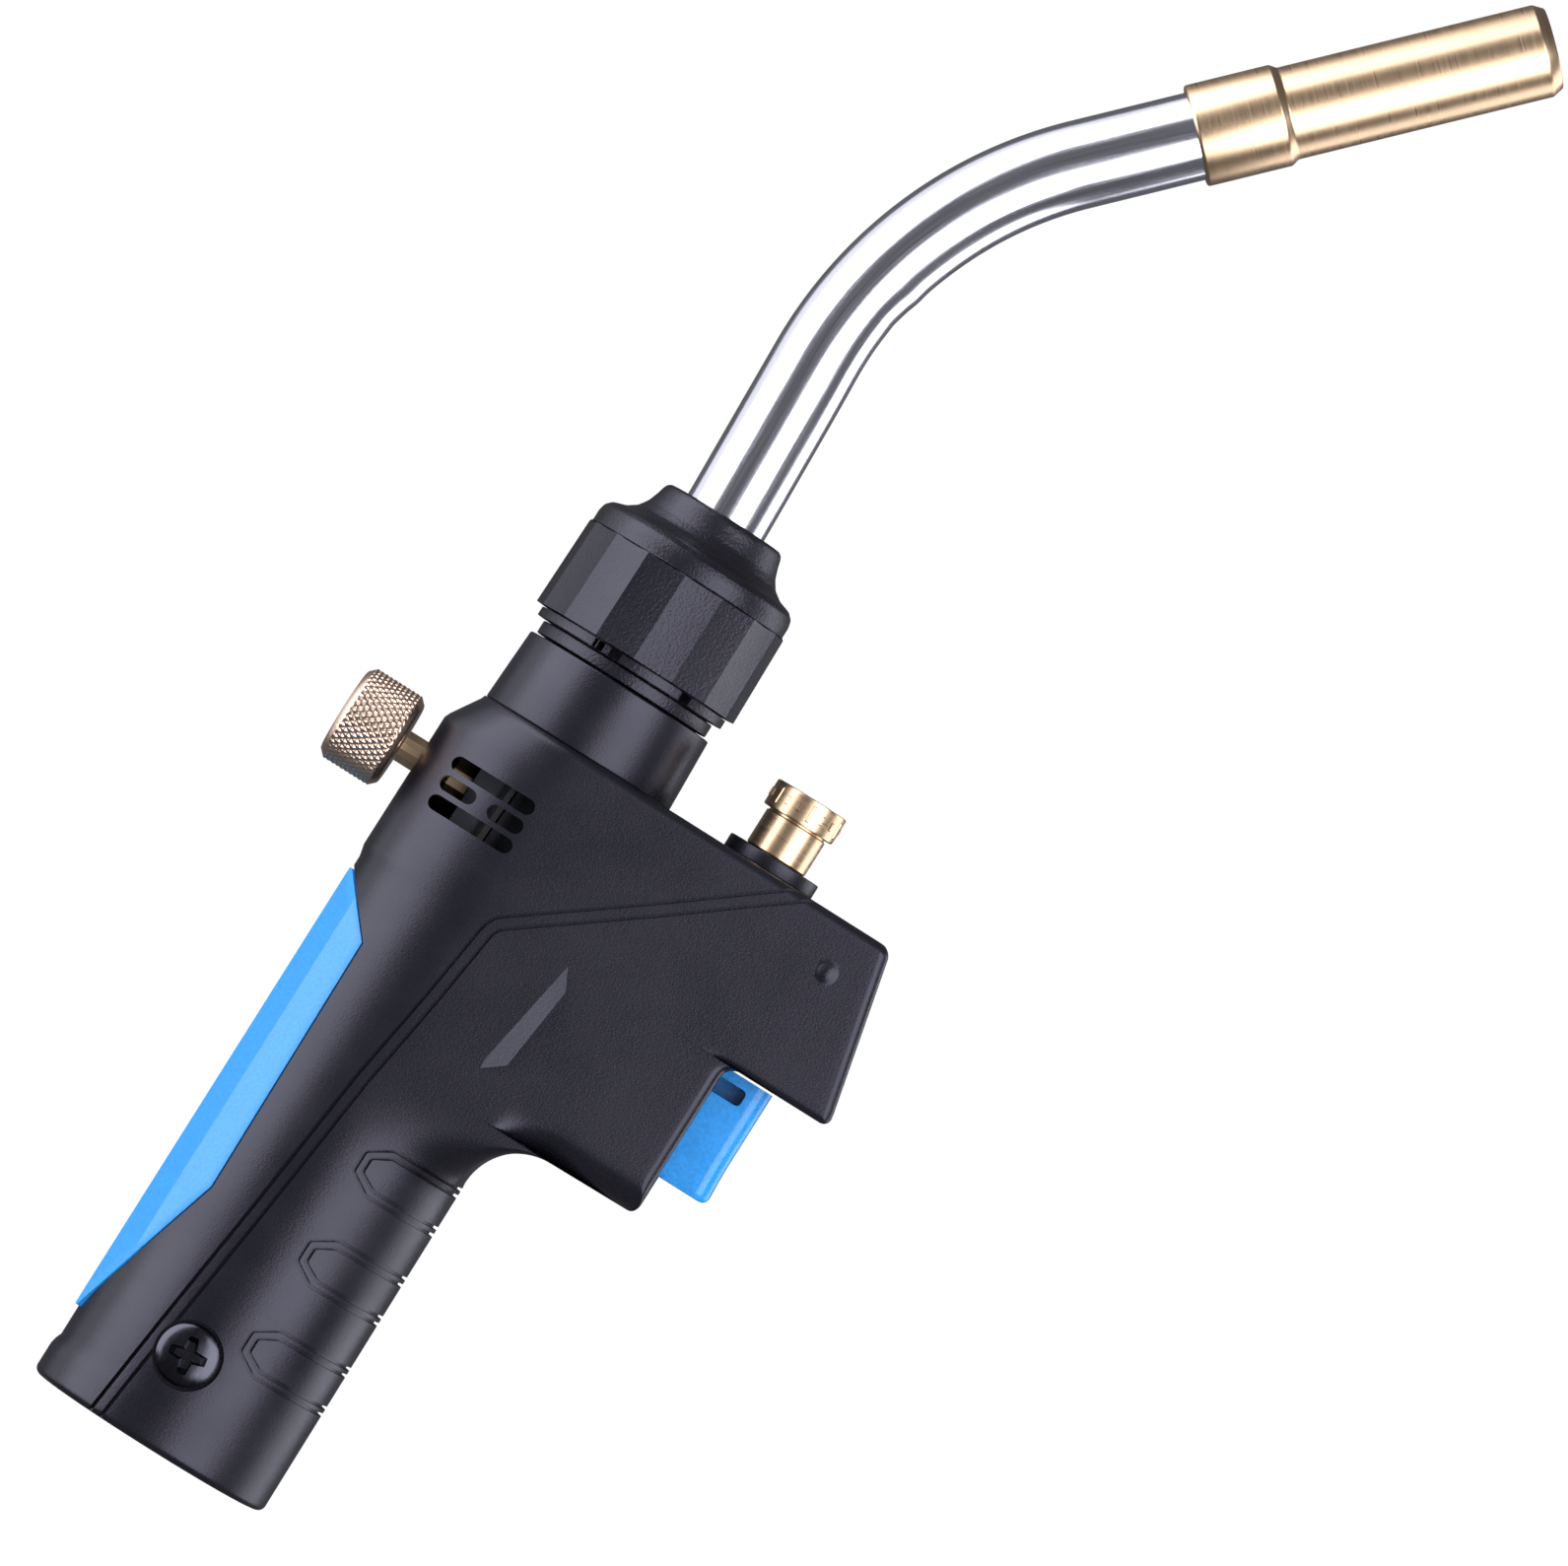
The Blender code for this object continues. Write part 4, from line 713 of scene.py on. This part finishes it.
def neck_rings():
    """Tapered sleeve, stepped spigot and the toothed rim under the nut."""
    sleeve = turned("tapered_sleeve", eased(NECK, 0.35, loop=True), loop=True)
    dress(sleeve, "moulded_black", "grip", ["neck_sleeve"])
    spigot = turned("stepped_spigot", eased(SPIGOT, 0.25, loop=True), loop=True)
    dress(spigot, "nut_black", "grip", ["threaded_spigot"])

    def teeth(turn, radius, height):
        place = np.degrees(turn) % 120.0
        gap = sum((place > start) & (place < end) for start, end in RIM_GAPS) > 0
        return np.where((radius > 15.5) & gap, -2.2, 0.0)

    rim = [(14.3, RIM_LOW), (RIM_R, RIM_LOW), (RIM_R, RIM_HIGH), (14.3, RIM_HIGH)]
    toothed = turned("toothed_rim", rim, steps=540, bulge=teeth, loop=True)
    dress(toothed, "nut_black", "grip", ["notched_ring"])


def tube_line(extra=0.0, count=150):
    """Centre line of the burner tube: its heading is a straight-line function of the distance along
    it, and its place is the running sum of the heading's sine and cosine."""
    lengths = np.array([run[0] for run in TUBE_RUNS] + [extra])
    ends = np.concatenate([[0.0], np.cumsum(lengths)])
    headings = np.radians([TUBE_RUNS[0][1]] + [run[2] for run in TUBE_RUNS] + [TUBE_RUNS[-1][2]])
    along = np.linspace(0.0, ends[-1], count * 8)
    heading = np.interp(along, ends, headings)
    step = np.diff(along, prepend=0.0)
    x = np.cumsum(step * np.sin(heading))
    z = TUBE_FOOT + np.cumsum(step * np.cos(heading))
    pick = np.linspace(0, len(along) - 1, count).astype(int)
    return along[pick], x[pick], z[pick], heading[pick]


def burner_tube():
    """Bent tube: a circle carried along the centre line, a little flattened on the inside of the bend
    where it was pulled round the former."""
    along, x, z, heading = tube_line(TUBE_IN_TIP)
    turn = np.linspace(0, 2 * math.pi, 96, endpoint=False)[None, :]
    inside = np.clip(np.cos(turn), 0, 1) ** 3
    flat = 0.3 * np.exp(-((along - 62.5) / 9.0) ** 2) - 0.16 * np.exp(-((along - 70.0) / 1.8) ** 2)
    flat += 0.10 * np.exp(-((along - 64.5) / 1.4) ** 2)

    def shell(radius):
        r = radius - flat[:, None] * inside
        out = r * np.cos(turn)
        return np.stack([x[:, None] + out * np.cos(heading)[:, None], r * np.sin(turn),
                         z[:, None] - out * np.sin(heading)[:, None]], axis=-1)

    points = np.concatenate([shell(TUBE_R), shell(TUBE_BORE)[::-1]])
    return dress(skin("bent_tube", points, loop=True), "stainless", "burner", ["burner_tube"])


def burner_tip():
    """Brass tip: its profile carried round the line of the tube's last straight."""
    _, x, z, heading = tube_line()
    foot = (x[-1], 0.0, z[-1])
    axis = (math.sin(heading[-1]), 0.0, math.cos(heading[-1]))
    profile = eased(TIP, 0.22, loop=True, steps=4)
    return dress(turned("brass_tip", profile, foot, axis, 128, loop=True), "brass", "burner", ["burner_tip"])


def flame_knob():
    """Knurled knob: two families of slanting lines cross, and each tooth's height is the lesser of the
    two distances to the nearest line."""
    sizes = bpy.context.scene.torch_sizes
    back, front, outer = FLAME_KNOB_BACK, FLAME_KNOB_FRONT, FLAME_KNOB_R
    depth = sizes.knurl_depth / MM
    teeth = round(2 * math.pi * outer / (sizes.knurl_pitch / MM))
    lead = 1.6
    heights = np.linspace(back + 0.95, front - 0.95, 76)
    ends_back = [(0.0, back), (outer - 1.5, back), (outer - 1.1, back + 0.1), (outer - 0.45, back + 0.75)]
    ends_front = [(outer - 0.45, front - 0.75), (outer - 1.1, front - 0.1), (outer - 1.5, front), (0.0, front)]
    profile = np.concatenate([ends_back, np.stack([np.full(76, outer - depth), heights], axis=-1), ends_front])

    def knurl(turn, radius, height):
        a = (teeth * turn / (2 * math.pi) + height / lead) % 1.0
        b = (teeth * turn / (2 * math.pi) - height / lead) % 1.0
        tooth = np.minimum(1 - np.abs(2 * a - 1), 1 - np.abs(2 * b - 1))
        inside = np.clip(np.minimum(height - back - 0.9, front - 0.9 - height) / 0.3, 0, 1)
        return np.where(radius > outer - 0.44, depth * tooth * inside, 0.0)

    piece = turned("knurled_flame_knob", profile, (0, 0, FLAME_Z), (1, 0, 0), teeth * 8, knurl)
    return dress(piece, "rose_brass", "flame_control", ["flame_knob"], 50.0)


def lock_knob():
    """Lock knob with a drum head; plain raised marks, long and short in turn, stand round the drum."""
    seat = eased([(3.4, 124.65), (7.9, 124.65), (7.9, 127.0), (3.4, 127.0)], 0.3, loop=True)
    collar = turned("lock_seat", seat, (LOCK_X, 0, 0), loop=True)
    dress(collar, "moulded_black", "grip", ["lock_collar"])
    drum = np.stack([np.full(28, 6.15), np.linspace(133.9, 137.5, 28)], axis=-1)
    profile = np.concatenate([LOCK_STEM, drum, LOCK_TOP])

    def marks(turn, radius, height):
        place = (turn * 18 / (2 * math.pi)) % 1.0
        long_one = np.floor(turn * 18 / (2 * math.pi)) % 3 == 0
        reach = np.where(long_one, 1.35, 0.7)
        on_mark = (radius > 6.1) & (np.abs(place - 0.5) < 0.11) & (np.abs(height - 135.7) < reach)
        return np.where(on_mark, 0.16, 0.0)

    piece = turned("lock_drum", profile, (LOCK_X, 0, 0), steps=360, bulge=marks)
    carve(piece, [block("cam_shaft", (LOCK_X - 1.9, -1.9, 99.0), (LOCK_X + 1.9, 1.9, 121.0)),
                  block("cam", (LOCK_X - 1.6, 0.5, 99.3), (LOCK_X + 1.6, 8.0, 102.0))], "UNION")
    return dress(piece, "brass", "lock", ["lock_knob"], 30.0)


def grip_screw():
    """Pan-head screw: a domed head, height falling with the square of the radius, and a cross recess
    turned ten degrees."""
    reach = np.linspace(0.0, 1.0, 16)
    dome = np.stack([4.95 * reach, 18.3 - 0.75 * reach ** 2 - 0.35 * reach ** 8], axis=-1)
    profile = np.concatenate([[(0, 9.5), (1.9, 9.5), (1.9, 16.5), (4.95, 16.5)], dome[::-1]])
    x, z = GRIP_SCREW
    piece = turned("cross_screw", profile, (x, 0, z), (0, -1, 0), 72)
    cuts = []
    for k, turn in enumerate((10.0, 100.0)):
        spin = np.array([[math.cos(math.radians(turn)), -math.sin(math.radians(turn))],
                         [math.sin(math.radians(turn)), math.cos(math.radians(turn))]])
        wide = np.array([(-3.5, -0.8), (-1.2, -1.15), (1.2, -1.15), (3.5, -0.8), (3.5, 0.8), (1.2, 1.15),
                         (-1.2, 1.15), (-3.5, 0.8)]) @ spin.T
        floor = wide * 0.6
        near = np.stack([x + wide[:, 0], np.full(8, -18.6), z + wide[:, 1]], axis=-1)
        deep = np.stack([x + floor[:, 0], np.full(8, -16.9 - 0.07 * k), z + floor[:, 1]], axis=-1)
        cuts.append(skin(f"recess_{k}", np.stack([near, deep]), caps=True))
    carve(piece, cuts)
    return dress(piece, "screw_black", "grip", ["grip_screw"])


def cad_finishes():
    """Gives every frame piece that stays its real finish."""
    surfaces = {"brass": "brass_block", "rose_brass": "brass_block"}
    slots = {row["node"]: row["material_slot"] for row in frame["record"]["subparts"]}
    for name, node in frame["nodes"].items():
        if name not in bpy.data.objects or not node.data.materials:
            continue
        node.data.materials[0] = finish(surfaces.get(slots[name], slots[name]))


def soft_box(name, turn, tilt, wide, tall, distance, power, target=(0.01, 0.0, 0.12)):
    """Area light aimed at the torch from an azimuth, measured from -Y towards +X, and a height."""
    a, e = math.radians(turn), math.radians(tilt)
    back = Vector((math.sin(a) * math.cos(e), -math.cos(a) * math.cos(e), math.sin(e)))
    light = bpy.data.lights.new(name, "AREA")
    light.shape, light.size, light.size_y, light.energy = "RECTANGLE", wide, tall, power
    light.color = linear("f4f5ff")
    lamp = bpy.data.objects.new(name, light)
    lamp.location = Vector(target) + back * distance
    lamp.rotation_euler = (-back).to_track_quat("-Z", "Y").to_euler()
    bpy.context.scene.collection.objects.link(lamp)
    lamp.visible_camera = False


def stage():
    """Pale floor, white surroundings, four soft boxes and the camera."""
    sizes = bpy.context.scene.torch_sizes
    level = -sizes.floor_drop / MM
    floor = block("studio_floor", (-4000, -4000, level - 20), (4000, 4000, level))
    made, tree = blank("matt_white_paper")
    place = add(tree, "ShaderNodeTexCoord")
    fibres = add(tree, "ShaderNodeTexNoise", {"Scale": 400.0, "Detail": 3.0}, {"Vector": (place, "Object")})
    tone = add(tree, "ShaderNodeMix", {"data_type": "RGBA", 6: (0.98, 0.98, 0.985, 1), 7: (1.0, 1.0, 1.0, 1)},
               {0: (fibres, "Fac")})
    close(tree, add(tree, "ShaderNodeBsdfPrincipled", {"Roughness": 1.0, "Specular IOR Level": 0.0},
                    {"Base Color": (tone, 2)}))
    floor.data.materials.append(made)
    floor.visible_glossy = False

    world = bpy.data.worlds.new("white_studio")
    bpy.context.scene.world = world
    world.use_nodes = True
    tree = world.node_tree
    tree.nodes.clear()
    seen = add(tree, "ShaderNodeBackground", {"Color": (1, 1, 1, 1), "Strength": 1.0})
    lit = add(tree, "ShaderNodeBackground", {"Color": (0.9, 0.92, 1.0, 1), "Strength": REFLECTED_ROOM})
    path = add(tree, "ShaderNodeLightPath")
    plain = add(tree, "ShaderNodeMath", {"operation": "MAXIMUM"},
                {0: (path, "Is Camera Ray"), 1: (path, "Is Diffuse Ray")})
    both = add(tree, "ShaderNodeMixShader", links={0: (plain, "Value"), 1: (lit, "Background"),
                                                   2: (seen, "Background")})
    add(tree, "ShaderNodeOutputWorld", links={"Surface": (both, "Shader")})

    soft_box("left_box", -67.0, 16.0, 0.73, 1.5, 0.75, 15.6)
    soft_box("back_left_box", -107.0, 16.0, 0.444, 1.5, 0.75, 2.3)
    soft_box("front_box", 35.3, 4.0, 0.704, 1.1, 0.85, 11.6)
    soft_box("right_box", 113.0, 4.0, 0.55, 1.1, 0.85, 5.4)

    camera = bpy.data.cameras.new("camera")
    camera.lens, camera.sensor_width = 283.6, 36.0
    camera.clip_start, camera.clip_end = 0.05, 50.0
    eye = bpy.data.objects.new("camera", camera)
    turn, tilt, roll, distance = math.radians(0.8), math.radians(-1.2), math.radians(32.2), 1.9
    back = Vector((math.sin(turn) * math.cos(tilt), -math.cos(turn) * math.cos(tilt), math.sin(tilt)))
    level = (-back).to_track_quat("-Z", "Y").to_matrix().to_4x4()
    eye.matrix_world = (Matrix.Translation(Vector((0.0293, 0.0, 0.1377)) + back * distance) @ level
                        @ Matrix.Rotation(roll, 4, "Z"))
    bpy.context.scene.collection.objects.link(eye)
    bpy.context.scene.camera = eye
    bpy.context.scene.view_settings.view_transform = "Standard"


# ---- operators and panel -------------------------------------------------------------------------
class TORCH_OT_housing(Operator):
    """Build both moulded halves of the body"""
    bl_idname = "torch.housing"
    bl_label = "Housing halves"

    def execute(self, context):
        housing("housing_right", -1)
        housing("housing_left", 1)
        return {"FINISHED"}


class TORCH_OT_back_panel(Operator):
    """Build the blue panel in the back of the grip"""
    bl_idname = "torch.back_panel"
    bl_label = "Back panel"

    def execute(self, context):
        back_panel()
        return {"FINISHED"}


class TORCH_OT_trigger(Operator):
    """Build the blue trigger"""
    bl_idname = "torch.trigger"
    bl_label = "Trigger"

    def execute(self, context):
        trigger()
        return {"FINISHED"}


class TORCH_OT_neck(Operator):
    """Build the sleeve and the rings under the nut"""
    bl_idname = "torch.neck"
    bl_label = "Neck rings"

    def execute(self, context):
        neck_rings()
        return {"FINISHED"}


class TORCH_OT_nut(Operator):
    """Build the faceted coupling nut"""
    bl_idname = "torch.nut"
    bl_label = "Coupling nut"

    def execute(self, context):
        coupling_nut()
        return {"FINISHED"}


class TORCH_OT_burner(Operator):
    """Build the bent tube and the brass tip"""
    bl_idname = "torch.burner"
    bl_label = "Burner"

    def execute(self, context):
        burner_tube()
        burner_tip()
        return {"FINISHED"}


class TORCH_OT_knobs(Operator):
    """Build the knurled flame knob and the lock knob"""
    bl_idname = "torch.knobs"
    bl_label = "Knobs"

    def execute(self, context):
        flame_knob()
        lock_knob()
        return {"FINISHED"}


class TORCH_OT_screw(Operator):
    """Build the cross-head screw in the grip"""
    bl_idname = "torch.screw"
    bl_label = "Grip screw"

    def execute(self, context):
        grip_screw()
        return {"FINISHED"}


class TORCH_OT_finishes(Operator):
    """Give every remaining frame piece its finish"""
    bl_idname = "torch.finishes"
    bl_label = "Frame finishes"

    def execute(self, context):
        cad_finishes()
        return {"FINISHED"}


class TORCH_OT_stage(Operator):
    """Build the floor, the lights and the camera"""
    bl_idname = "torch.stage"
    bl_label = "Stage"

    def execute(self, context):
        stage()
        return {"FINISHED"}


STEPS = (TORCH_OT_housing, TORCH_OT_back_panel, TORCH_OT_trigger, TORCH_OT_neck, TORCH_OT_nut, TORCH_OT_burner,
         TORCH_OT_knobs, TORCH_OT_screw, TORCH_OT_finishes, TORCH_OT_stage)


class TORCH_PT_panel(Panel):
    """Lists the steps that build the torch, with its sizes and colours"""
    bl_idname = "TORCH_PT_panel"
    bl_label = "Torch"
    bl_space_type = "VIEW_3D"
    bl_region_type = "UI"
    bl_category = "Torch"

    def draw(self, context):
        for step in STEPS:
            self.layout.operator(step.bl_idname)
        for group in (context.scene.torch_sizes, context.scene.torch_colours):
            for name in group.__annotations__:
                self.layout.prop(group, name)


CLASSES = (TorchSizes, TorchColours, *STEPS, TORCH_PT_panel)


def register():
    for cls in CLASSES:
        bpy.utils.register_class(cls)
    bpy.types.Scene.torch_sizes = PointerProperty(type=TorchSizes)
    bpy.types.Scene.torch_colours = PointerProperty(type=TorchColours)


def unregister():
    del bpy.types.Scene.torch_colours
    del bpy.types.Scene.torch_sizes
    for cls in reversed(CLASSES):
        bpy.utils.unregister_class(cls)


def main():
    register()
    for step in STEPS:
        group, name = step.bl_idname.split(".")
        getattr(getattr(bpy.ops, group), name)()


if __name__ == "__main__":
    main()
